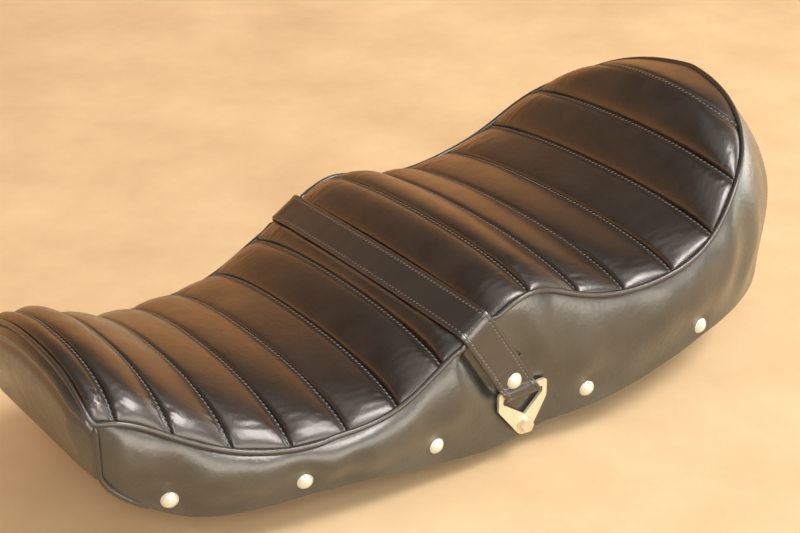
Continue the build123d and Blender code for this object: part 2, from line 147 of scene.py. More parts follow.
def natural_spline(knots: np.ndarray, values: np.ndarray, at: np.ndarray) -> np.ndarray:
    """Natural cubic spline through the knots.

    Its second derivatives solve the usual three-term equations, with zero at both ends, and
    each value is the cubic between its two knots.

    Args:
        knots: places of the knots, in any order.
        values: values at the knots.
        at: places to look up, held inside the knots' range.

    Returns:
        The spline's values.
    """
    order = np.argsort(knots)
    x = np.asarray(knots, float)[order]
    y = np.asarray(values, float)[order]
    step = np.diff(x)
    count = len(x)
    matrix = np.eye(count)
    inner = np.arange(1, count - 1)
    matrix[inner, inner - 1] = step[:-1]
    matrix[inner, inner] = 2.0 * (step[:-1] + step[1:])
    matrix[inner, inner + 1] = step[1:]
    right = np.zeros(count)
    right[1:-1] = 6.0 * (np.diff(y[1:]) / step[1:] - np.diff(y[:-1]) / step[:-1])
    bend = np.linalg.solve(matrix, right)
    place = np.clip(np.asarray(at, float), x[0], x[-1])
    k = np.clip(np.searchsorted(x, place) - 1, 0, count - 2)
    before = (x[k + 1] - place) / step[k]
    after = (place - x[k]) / step[k]
    cubic = (before ** 3 - before) * bend[k] + (after ** 3 - after) * bend[k + 1]
    return before * y[k] + after * y[k + 1] + cubic * step[k] ** 2 / 6.0


def arc_through(start: Pair, via: Pair, end: Pair, count: int) -> np.ndarray:
    """Points on the circle through three points, at even steps of angle.

    The centre is as far from all three; the angle runs from start to end past via.

    Args:
        start: first point.
        via: point on the way.
        end: last point.
        count: how many points, ends included.

    Returns:
        Array (count, 2).
    """
    a, b, c = (np.array(p, float) for p in (start, via, end))
    centre = np.linalg.solve(2.0 * np.array([b - a, c - a]),
                             np.array([b @ b - a @ a, c @ c - a @ a]))
    radius = np.linalg.norm(a - centre)
    first, middle, last = (math.atan2(*(p - centre)[::-1]) for p in (a, b, c))
    to_middle = (middle - first) % math.tau
    to_last = (last - first) % math.tau
    sweep = to_last if to_middle < to_last else to_last - math.tau
    angle = first + np.linspace(0.0, sweep, count)
    return centre + radius * np.stack([np.cos(angle), np.sin(angle)], 1)


def unit(vectors: np.ndarray) -> np.ndarray:
    """Vectors divided by their lengths, along the last axis."""
    length = np.linalg.norm(vectors, axis=-1, keepdims=True)
    return vectors / np.maximum(length, 1e-9)


def grid_faces(rows: int, columns: int, wrap_rows: bool = False,
               wrap_columns: bool = False) -> np.ndarray:
    """Quads of a grid of vertices numbered row by row.

    Args:
        rows: number of rows.
        columns: number of columns.
        wrap_rows: join the last row to the first.
        wrap_columns: join the last column to the first.

    Returns:
        Array (faces, 4) of vertex numbers, in the order of row, next column, next row.
    """
    r = np.arange(rows if wrap_rows else rows - 1)[:, None]
    c = np.arange(columns if wrap_columns else columns - 1)[None, :]
    next_r = (r + 1) % rows
    next_c = (c + 1) % columns
    corners = [r * columns + c, r * columns + next_c, next_r * columns + next_c,
               next_r * columns + c]
    return np.stack([np.broadcast_to(k, (r.size, c.size)).ravel() for k in corners], 1)


def grid_normals(points: np.ndarray) -> np.ndarray:
    """Unit normals of a grid: the cross product of its column and row steps."""
    return unit(np.cross(np.gradient(points, axis=1), np.gradient(points, axis=0)))


def carry(profile: np.ndarray, path: np.ndarray, across: np.ndarray,
          out: np.ndarray) -> np.ndarray:
    """Profile carried along a path: point + u * across + v * out.

    Args:
        profile: (n, 2) or (m, n, 2) values u and v.
        path: (m, 3) points.
        across: (m, 3) directions of u.
        out: (m, 3) directions of v.

    Returns:
        Grid (m, n, 3).
    """
    shape = np.broadcast_to(profile, (len(path),) + profile.shape[-2:])
    return (path[:, None, :] + shape[..., :1] * across[:, None, :]
            + shape[..., 1:] * out[:, None, :])


def along(path: np.ndarray) -> np.ndarray:
    """Distance travelled along a path up to each of its points."""
    steps = np.linalg.norm(np.diff(path, axis=0), axis=1)
    return np.concatenate([[0.0], np.cumsum(steps)])


def spaced(path: np.ndarray, others: list[np.ndarray], places: np.ndarray) -> list[np.ndarray]:
    """Path and arrays beside it, looked up at distances along the path.

    Args:
        path: (m, 3) points.
        others: arrays (m, k) with a row for each point.
        places: distances along the path.

    Returns:
        The path's points and each other array's rows at those distances.
    """
    travelled = along(path)
    return [np.stack([np.interp(places, travelled, values[:, k])
                      for k in range(values.shape[1])], 1) for values in [path] + others]


def soften(loop: np.ndarray, passes: int, closed: bool = True) -> np.ndarray:
    """Points averaged with their neighbours, (1, 2, 1) / 4, along the last axis but one.

    Args:
        loop: (..., points, k).
        passes: how many times.
        closed: whether the last point is beside the first; ends stay put otherwise.

    Returns:
        Array of the same shape.
    """
    for _ in range(passes):
        before, after = np.roll(loop, 1, -2), np.roll(loop, -1, -2)
        mixed = 0.25 * before + 0.5 * loop + 0.25 * after
        if not closed:
            mixed[..., 0, :] = loop[..., 0, :]
            mixed[..., -1, :] = loop[..., -1, :]
        loop = mixed
    return loop


def outward(loop: np.ndarray, passes: int = 3) -> np.ndarray:
    """Plan directions out of a closed loop that runs anticlockwise seen from above.

    Each is the step between its two neighbours turned a quarter to the right, then averaged
    with its neighbours, (1, 2, 1) / 4.

    Args:
        loop: (points, ..., 2 or 3).
        passes: how many times the directions are averaged.

    Returns:
        Array (points, ..., 3) of unit vectors with z zero.
    """
    step = np.roll(loop, -1, 0) - np.roll(loop, 1, 0)
    turned = np.stack([step[..., 1], -step[..., 0], 0.0 * step[..., 0]], -1)
    turned = unit(turned)
    for _ in range(passes):
        turned = 0.25 * np.roll(turned, 1, 0) + 0.5 * turned + 0.25 * np.roll(turned, -1, 0)
    return unit(turned)


def tube(path: np.ndarray, out: np.ndarray, radius: np.ndarray, sides: int,
         closed: bool) -> MeshParts:
    """Round bead along a path, capped where it is open.

    Ring k is path + radius * (cos a * out + sin a * up), a running clockwise and up being
    square to the path and to out.

    Args:
        path: (m, 3) points.
        out: (m, 3) unit vectors.
        radius: (m,) radii.
        sides: vertices of a ring.
        closed: whether the path's last point is beside its first.

    Returns:
        Vertices (m * sides, 3) and faces.
    """
    step = np.roll(path, -1, 0) - np.roll(path, 1, 0) if closed else np.gradient(path, axis=0)
    run = unit(step)
    side = unit(out - np.sum(out * run, 1, keepdims=True) * run)
    up = np.cross(side, run)
    angle = -np.linspace(0.0, math.tau, sides, endpoint=False)
    ring = np.stack([np.cos(angle), np.sin(angle)], 1)
    grid = carry(ring[None] * radius[:, None, None], path, side, up)
    faces = grid_faces(len(path), sides, wrap_rows=closed, wrap_columns=True).tolist()
    if not closed:
        faces += end_caps(len(path), sides)
    return grid.reshape(-1, 3), faces


def end_caps(count: int, sides: int) -> list[list[int]]:
    """Faces that close the two ends of a row of rings.

    Args:
        count: number of rings.
        sides: vertices of a ring.

    Returns:
        The first ring as it runs and the last one backwards.
    """
    last = (count - 1) * sides
    return [list(range(sides)), list(range(last + sides - 1, last - 1, -1))]


def joined(parts: list[MeshParts]) -> MeshParts:
    """Several meshes as one: vertices stacked and face numbers moved on.

    Args:
        parts: vertices and faces of each.

    Returns:
        Vertices and faces of all.
    """
    vertices, faces, start = [], [], 0
    for points, own in parts:
        vertices.append(points)
        faces += [[index + start for index in face] for face in own]
        start += len(points)
    return np.concatenate(vertices), faces


def mirrored(part: MeshParts) -> MeshParts:
    """A mesh on the seat's other side, its faces turned to stay outward."""
    points, faces = part
    return points * np.array([1.0, -1.0, 1.0]), [face[::-1] for face in faces]


@dataclass(frozen=True)
class SeatForm:
    """Outline, heights and sections that every soft piece follows."""
    mid_y: float = 76.0
    datum_z: float = 94.0
    front_x: float = 325.0
    front_half: float = 86.0
    seams: tuple[Seam, ...] = (
        Seam(330.0, 6.0, 27.0, -2.0), Seam(309.7, 5.1, 29.5, -2.5),
        Seam(272.2, -13.1, 33.6, -0.5), Seam(232.0, -33.0, 33.0, -0.5),
        Seam(189.5, -41.2, 29.8, -0.5), Seam(144.6, -41.5, 24.6),
        Seam(100.4, -35.0, 20.8, -0.5), Seam(59.0, -13.9, 18.4),
        Seam(18.0, 8.5, 14.0), Seam(-23.9, 25.0, 14.2, -0.8),
        Seam(-69.8, 13.3, 18.6, 1.0), Seam(-112.0, 5.5, 19.8, 0.5),
        Seam(-160.8, 9.2, 17.6), Seam(-208.0, 26.9, 15.5, 2.0),
        Seam(-249.0, 57.6, 15.6, 6.5), Seam(-289.0, 84.8, 21.2, 13.5),
    )
    tail_edge: tuple[Station, ...] = (
        Station(-270.0, 70.5), Station(-285.0, 81.5), Station(-300.0, 95.0),
        Station(-312.0, 104.0), Station(-326.0, 109.5))
    hem: tuple[Station, ...] = (
        Station(340.0, -30.0), Station(325.0, -38.0), Station(316.0, -48.0),
        Station(293.0, -67.0), Station(265.0, -81.0), Station(190.0, -84.0),
        Station(90.0, -91.0), Station(0.0, -102.0), Station(-35.0, -98.0),
        Station(-99.0, -88.0), Station(-158.0, -73.0), Station(-205.0, -61.0),
        Station(-260.0, -56.0), Station(-380.0, -57.0),
    )
    web: tuple[Station, ...] = (
        Station(340.0, -16.0), Station(325.0, -22.0), Station(270.0, -50.0),
        Station(190.0, -60.0), Station(0.0, -64.0), Station(-110.0, -56.0),
        Station(-205.0, -35.0), Station(-300.0, -28.0), Station(-380.0, -28.0),
    )
    front_arc: tuple[Pair, Pair] = ((256.0, 108.5), (190.0, 128.5))
    thigh_arc: tuple[Pair, Pair] = ((120.0, 137.0), (45.0, 136.0))
    waist: Pair = (-45.0, 136.0)
    hip_arc: tuple[Pair, Pair] = ((-104.0, 147.5), (-160.0, 151.8))
    levels: tuple[Level, ...] = (
        Level(112.0, (-222.0, 130.0), (-270.5, 92.0), (-300.0, 48.0), -314.5),
        Level(10.0, (-236.0, 141.0), (-311.0, 100.0), (-350.0, 52.0), -363.0),
        Level(-115.0, (-230.0, 140.5), (-299.0, 100.0), (-335.0, 52.0), -347.0),
    )
    piece_points: tuple[int, ...] = (30, 50, 50, 34, 44, 56, 48)
    corner_passes: int = 4
    settling: int = 12
    nose_range: Pair = (4.0, 1.0)
    shoulder: float = 2.35
    fall: float = 0.714
    top_rise: float = 106.4
    top_x: float = -277.5

    def place(self, points: np.ndarray) -> np.ndarray:
        """Points of the seat's frame, in the model's frame and in metres."""
        return (points + np.array([0.0, self.mid_y, self.datum_z])) * MM

    def edge_height(self, x: np.ndarray) -> np.ndarray:
        """Height of the piping line: the spline through the seams' edges and the tail's."""
        rows = [(s.x, s.edge) for s in self.seams] + [(s.x, s.z) for s in self.tail_edge]
        return natural_spline([r[0] for r in rows], [r[1] for r in rows], x)

    def crown_rise(self, x: np.ndarray) -> np.ndarray:
        """Rise of the crown above the piping: the spline through the seams' rises."""
        return natural_spline([s.x for s in self.seams], [s.rise for s in self.seams], x)

    def side_line(self, line: tuple[Station, ...], x: np.ndarray) -> np.ndarray:
        """Height of a side view's line, by a spline through its stations."""
        return natural_spline([s.x for s in line], [s.z for s in line], x)

    def half_outlines(self) -> np.ndarray:
        """Left half of the plan outline, front centre to tail centre, at the three levels.

        Each is a front line, two arcs along the thigh, the straight waist, the hip's arc and
        the tail's two arcs.

        Returns:
            Array (3, points, 2).
        """
        corner = (self.front_x, self.front_half)
        front, thigh, hip = self.front_arc, self.thigh_arc, self.hip_arc
        counts = self.piece_points
        halves = []
        for level in self.levels:
            pieces = [
                np.linspace((self.front_x, 0.0), corner, counts[0]),
                arc_through(corner, front[0], front[1], counts[1]),
                arc_through(front[1], thigh[0], thigh[1], counts[2]),
                np.linspace(thigh[1], self.waist, counts[3]),
                arc_through(self.waist, hip[0], hip[1], counts[4]),
                arc_through(hip[1], level.shoulder, level.corner, counts[5]),
                arc_through(level.corner, level.quarter, (level.tail, 0.0), counts[6]),
            ]
            halves.append(np.concatenate([pieces[0]] + [p[1:] for p in pieces[1:]]))
        return np.array(halves)

    def wall(self, halves: np.ndarray, z: np.ndarray) -> np.ndarray:
        """Plan points of the side wall at given heights.

        The parabola through the three levels, point by point: the sum of each level's
        outline times its Lagrange weight at that height.

        Args:
            halves: (3, n, 2) outlines from half_outlines.
            z: (n,) or (n, m) heights.

        Returns:
            Array of z's shape with a last axis of x and y.
        """
        heights = [level.z for level in self.levels]
        total = 0.0
        for k, own in enumerate(heights):
            others = [h for h in heights if h != own]
            weight = ((z - others[0]) * (z - others[1])
                      / ((own - others[0]) * (own - others[1])))
            outline = halves[k] if z.ndim == 1 else halves[k][:, None, :]
            total = total + weight[..., None] * outline
        return total

    def nearing_front(self, x: np.ndarray, behind: Pair) -> np.ndarray:
        """Cubic step from 0 to 1 between two distances behind the front edge."""
        return smooth_step(self.front_x - behind[0], self.front_x - behind[1], x)

    def section(self, share: np.ndarray) -> np.ndarray:
        """Crown's section, (1 - |share|^shoulder)^fall, share running from 0 to 1 sideways."""
        return (1.0 - np.minimum(np.abs(share), 1.0) ** self.shoulder) ** self.fall

    def loop_outlines(self) -> np.ndarray:
        """Whole outlines at the three levels, closed, with the front corners rounded.

        The left half is followed by its mirror image without the two centre points. Then
        each point is averaged with its neighbours, (1, 2, 1) / 4, corner_passes times.

        Returns:
            Array (3, points, 2), from the front centre round the left side.
        """
        halves = self.half_outlines()
        mirror = halves[:, -2:0:-1, :] * np.array([1.0, -1.0])
        return soften(np.concatenate([halves, mirror], 1), self.corner_passes)

    def rim_heights(self, outlines: np.ndarray) -> np.ndarray:
        """Heights of the piping along the closed outlines, over the nose too.

        On the sides each is the piping's height at its own x, found by repeating the
        look-up; on the front it follows the crown's section.

        Args:
            outlines: (3, points, 2) from loop_outlines.

        Returns:
            Array (points,).
        """
        z = self.edge_height(outlines[0, :, 0])
        for _ in range(self.settling):
            plan = self.wall(outlines, z)
            nose = self.nearing_front(plan[:, 0], self.nose_range)
            crown = self.crown_rise(plan[:, 0]) * self.section(plan[:, 1] / self.front_half)
            z = 0.5 * z + 0.5 * (self.edge_height(plan[:, 0]) + nose * crown)
        return z

    def piping_line(self) -> np.ndarray:
        """Left half of the piping line, front corner to tail centre.

        Each point lies on the wall at the piping's height for its own x, found by repeating
        the look-up until it settles.

        Returns:
            Array (points, 3).
        """
        halves = self.half_outlines()[:, self.piece_points[0] - 1:, :]
        z = self.edge_height(halves[0, :, 0])
        for _ in range(self.settling):
            plan = self.wall(halves, z)
            z = 0.5 * z + 0.5 * self.edge_height(plan[:, 0])
        return np.concatenate([plan, z[:, None]], 1)


def make_object(name: str, vertices: np.ndarray, faces: list, body: str,
                material: bpy.types.Material) -> bpy.types.Object:
    """Mesh object from vertices and faces, smooth, riding on a body.

    Args:
        name: object's name.
        vertices: (n, 3) in metres, in the model's frame.
        faces: vertex numbers of each face.
        body: the CAD body that it rides on.
        material: its finish.

    Returns:
        The linked object.
    """
    mesh = bpy.data.meshes.new(name)
    mesh.from_pydata(vertices.tolist(), [], faces)
    mesh.shade_smooth()
    mesh.materials.append(material)
    mesh.validate()
    made = bpy.data.objects.new(name, mesh)
    bpy.context.scene.collection.objects.link(made)
    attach(made, body)
    log.info("%s: %d faces", name, len(mesh.polygons))
    return made


class Nodes:
    """Short way to wire a material's nodes."""

    def __init__(self, name: str) -> None:
        """Start a material with a Principled shader and Object coordinates.

        Args:
            name: material's name.
        """
        self.material = bpy.data.materials.new(name)
        self.material.use_nodes = True
        self.tree = self.material.node_tree
        self.shader = self.tree.nodes["Principled BSDF"]
        self.place = self.tree.nodes.new("ShaderNodeTexCoord").outputs["Object"]

    def add(self, kind: str, **settings: object) -> bpy.types.Node:
        """Add a node, setting attributes by name and sockets by their label.

        Args:
            kind: type of the node.
            settings: its attributes, and values or outputs for its sockets.

        Returns:
            The node.
        """
        node = self.tree.nodes.new(kind)
        for key, value in settings.items():
            if hasattr(node, key):
                setattr(node, key, value)
            else:
                self.feed(node.inputs[key], value)
        return node

    def feed(self, socket: bpy.types.NodeSocket, value: object) -> None:
        """Link an output to a socket, or set the socket's own value.

        Args:
            socket: the input.
            value: an output, or a plain value.
        """
        if isinstance(value, bpy.types.NodeSocket):
            self.tree.links.new(value, socket)
        else:
            socket.default_value = value

    def shade(self, label: str, value: object) -> None:
        """Feed one of the shader's inputs."""
        self.feed(self.shader.inputs[label], value)

    def noise(self, look: Noise) -> bpy.types.NodeSocket:
        """Value of a noise texture on Object coordinates.

        Args:
            look: its scale, detail and roughness.

        Returns:
            The value's output.
        """
        node = self.add("ShaderNodeTexNoise", Scale=look.scale, Detail=look.detail,
                        Roughness=look.roughness)
        self.feed(node.inputs["Vector"], self.place)
        return node.outputs["Fac"]

    def span(self, value: bpy.types.NodeSocket, given: Pair, wanted: Pair) -> bpy.types.NodeSocket:
        """Value stretched from one range to another, held inside.

        Args:
            value: the output to stretch.
            given: low and high of its range.
            wanted: low and high of the new range.

        Returns:
            The new value's output.
        """
        node = self.add("ShaderNodeMapRange")
        for label, amount in (("Value", value), ("From Min", given[0]), ("From Max", given[1]),
                              ("To Min", wanted[0]), ("To Max", wanted[1])):
            self.feed(node.inputs[label], amount)
        return node.outputs["Result"]

    def blend(self, share: object, first: Triple, second: Triple) -> bpy.types.NodeSocket:
        """Colour between two colours.

        Args:
            share: how much of the second, 0 to 1.
            first: linear colour at 0.
            second: linear colour at 1.

        Returns:
            The colour's output.
        """
        node = self.add("ShaderNodeMix", data_type="RGBA")
        self.feed(node.inputs["Factor"], share)
        self.feed(node.inputs[MIX_FIRST], rgba(first))
        self.feed(node.inputs[MIX_SECOND], rgba(second))
        return node.outputs[MIX_RESULT]

    def math(self, operation: str, first: object, second: object) -> bpy.types.NodeSocket:
        """Result of one math operation.

        Args:
            operation: its name.
            first: first value or output.
            second: second value or output.

        Returns:
            The result's output.
        """
        node = self.add("ShaderNodeMath", operation=operation)
        self.feed(node.inputs[0], first)
        self.feed(node.inputs[1], second)
        return node.outputs[0]

    def bump(self, height: bpy.types.NodeSocket, distance: float) -> None:
        """Bump the shader's normal.

        Args:
            height: output of the height, 0 to 1.
            distance: what a height of 1 stands for, in metres.
        """
        node = self.add("ShaderNodeBump", Strength=1.0, Distance=distance, Height=height)
        self.shade("Normal", node.outputs["Normal"])


def rgba(colour: Triple) -> tuple[float, float, float, float]:
    """Linear colour with full opacity."""
    return (*colour, 1.0)


def scaled(colour: Triple, amount: float) -> Triple:
    """Colour whose three values are multiplied by an amount."""
    return tuple(amount * value for value in colour)


@dataclass(frozen=True)
class Leather:
    """Polished leather: fine grain, long stretch lines, cloudy gloss and worn colour.

    Heights are in metres; a range is what a noise is stretched from.
    """
    name: str
    colour: Triple
    worn: Triple
    gloss: Pair = (0.29, 0.42)
    grain: float = 0.00004
    lines: float = 0.0003
    wrinkles: float = 0.0002
    coat: float = 0.5
    coat_gloss: float = 0.26
    shine: float = 0.9
    clouds: Noise = Noise(16.0, 5.0)
    cloud_range: Pair = (0.42, 0.72)
    handling: Noise = Noise(45.0, 6.0)
    handling_range: Pair = (0.3, 0.7)
    stretch: Noise = Noise(520.0, 5.0, 0.6)
    stretch_turn: float = math.radians(28.0)
    stretch_squeeze: float = 0.2
    patches: Noise = Noise(30.0, 3.0)
    patch_range: Pair = (0.4, 0.65)
    patch_share: Pair = (0.15, 1.0)
    pores: Noise = Noise(1500.0, 3.0)
    folds: Noise = Noise(210.0, 4.0, 0.6)

    def build(self) -> bpy.types.Material:
        """Make the material.

        The height is stretched lines in patches, plus pores, plus folds.

        Returns:
            The material.
        """
        nodes = Nodes(self.name)
        share = nodes.span(nodes.noise(self.clouds), self.cloud_range, (0.0, 1.0))
        nodes.shade("Base Color", nodes.blend(share, self.colour, self.worn))
        nodes.shade("Roughness", nodes.span(nodes.noise(self.handling), self.handling_range,
                                            self.gloss))
        nodes.shade("Specular IOR Level", self.shine)
        nodes.shade("Coat Weight", self.coat)
        nodes.shade("Coat Roughness", self.coat_gloss)
        turned = nodes.add("ShaderNodeMapping", Vector=nodes.place,
                           Rotation=(0.0, 0.0, self.stretch_turn),
                           Scale=(1.0, self.stretch_squeeze, 1.0))
        stretched = nodes.noise(self.stretch)
        nodes.feed(stretched.node.inputs["Vector"], turned.outputs["Vector"])
        patches = nodes.span(nodes.noise(self.patches), self.patch_range, self.patch_share)
        height = nodes.math("ADD", nodes.math("MULTIPLY", stretched, patches),
                            nodes.math("MULTIPLY", nodes.noise(self.pores),
                                       self.grain / self.lines))
        creased = nodes.math("MULTIPLY", nodes.noise(self.folds), self.wrinkles / self.lines)
        nodes.bump(nodes.math("ADD", height, creased), self.lines)
        return nodes.material


@dataclass(frozen=True)
class Thread:
    """Waxed grey thread, with a fine twist."""
    name: str
    colour: Triple
    dark: float = 0.55
    gloss: float = 0.55
    soiling: Noise = Noise(1400.0, 3.0)
    twist: Noise = Noise(2600.0, 2.0)
    twist_height: float = 0.00012

    def build(self) -> bpy.types.Material:
        """Make the material.

        Returns:
            The material.
        """
        nodes = Nodes(self.name)
        share = nodes.noise(self.soiling)
        nodes.shade("Base Color", nodes.blend(share, self.colour, scaled(self.colour, self.dark)))
        nodes.shade("Roughness", self.gloss)
        nodes.bump(nodes.noise(self.twist), self.twist_height)
        return nodes.material


@dataclass(frozen=True)
class Metal:
    """Plated or polished metal, with soft scuffs in its gloss."""
    name: str
    colour: Triple
    gloss: Pair
    metallic: float = 1.0
    dim: float = 0.82
    tone: Noise = Noise(35.0, 4.0)
    scuffs: Noise = Noise(90.0, 6.0)
    scuff_range: Pair = (0.3, 0.7)
    ripple: Noise = Noise(240.0, 5.0)
    ripple_height: float = 0.00002

    def build(self) -> bpy.types.Material:
        """Make the material.

        Returns:
            The material.
        """
        nodes = Nodes(self.name)
        tone = nodes.noise(self.tone)
        nodes.shade("Base Color", nodes.blend(tone, self.colour, scaled(self.colour, self.dim)))
        nodes.shade("Metallic", self.metallic)
        nodes.shade("Roughness", nodes.span(nodes.noise(self.scuffs), self.scuff_range,
                                            self.gloss))
        nodes.bump(nodes.noise(self.ripple), self.ripple_height)
        return nodes.material


@dataclass(frozen=True)
class Paint:
    """Black paint over pressed steel, with a faint orange-peel surface."""
    name: str
    colour: Triple
    gloss: Pair = (0.34, 0.52)
    dusty: float = 2.6
    dust: Noise = Noise(14.0, 6.0)
    dust_range: Pair = (0.45, 0.8)
    handling: Noise = Noise(40.0, 5.0)
    handling_range: Pair = (0.3, 0.7)
    peel: Noise = Noise(300.0, 3.0)
    peel_height: float = 0.00004

    def build(self) -> bpy.types.Material:
        """Make the material.

        Returns:
            The material.
        """
        nodes = Nodes(self.name)
        share = nodes.span(nodes.noise(self.dust), self.dust_range, (0.0, 1.0))
        nodes.shade("Base Color", nodes.blend(share, self.colour, scaled(self.colour, self.dusty)))
        nodes.shade("Roughness", nodes.span(nodes.noise(self.handling), self.handling_range,
                                            self.gloss))
        nodes.bump(nodes.noise(self.peel), self.peel_height)
        return nodes.material


@dataclass(frozen=True)
class Rubber:
    """Moulded rubber, matt and slightly chalky."""
    name: str
    colour: Triple
    gloss: float = 0.72
    chalk: float = 2.2
    bloom: Noise = Noise(50.0, 5.0)
    skin: Noise = Noise(600.0, 4.0)
    skin_height: float = 0.00008

    def build(self) -> bpy.types.Material:
        """Make the material.

        Returns:
            The material.
        """
        nodes = Nodes(self.name)
        bloom = nodes.noise(self.bloom)
        nodes.shade("Base Color", nodes.blend(bloom, self.colour, scaled(self.colour, self.chalk)))
        nodes.shade("Roughness", self.gloss)
        nodes.bump(nodes.noise(self.skin), self.skin_height)
        return nodes.material


TOP_LEATHER = Leather("top_leather", (0.014, 0.011, 0.009), (0.024, 0.020, 0.016))
# Painted light, in part: the skirt's leather is the top's black leather made about twice as light
# and greyer, standing in for the stronger light that the skirt catches.
SIDE_LEATHER = Leather("side_leather", (0.030, 0.032, 0.028), (0.060, 0.063, 0.055),
                       gloss=(0.27, 0.40), wrinkles=0.0004)
PIPING = Leather("piping", (0.020, 0.019, 0.017), (0.035, 0.033, 0.030), gloss=(0.30, 0.40))
STRAP_LEATHER = Leather("strap_leather", (0.026, 0.025, 0.023), (0.031, 0.030, 0.028),
                        gloss=(0.27, 0.29), lines=0.00006, wrinkles=0.00008)
THREAD = Thread("thread", (0.22, 0.23, 0.22))
PLATED = Metal("plated_steel", (0.86, 0.78, 0.60), (0.34, 0.46), metallic=0.55)
STUD = Metal("stud_cap", (0.82, 0.82, 0.71), (0.3, 0.4), metallic=0.35)
NICKEL = Metal("bright_steel", (0.88, 0.84, 0.72), (0.26, 0.36), metallic=0.8)
BLACK = Paint("black_steel", (0.018, 0.018, 0.018))
BUFFER = Rubber("buffer_rubber", (0.02, 0.02, 0.02))


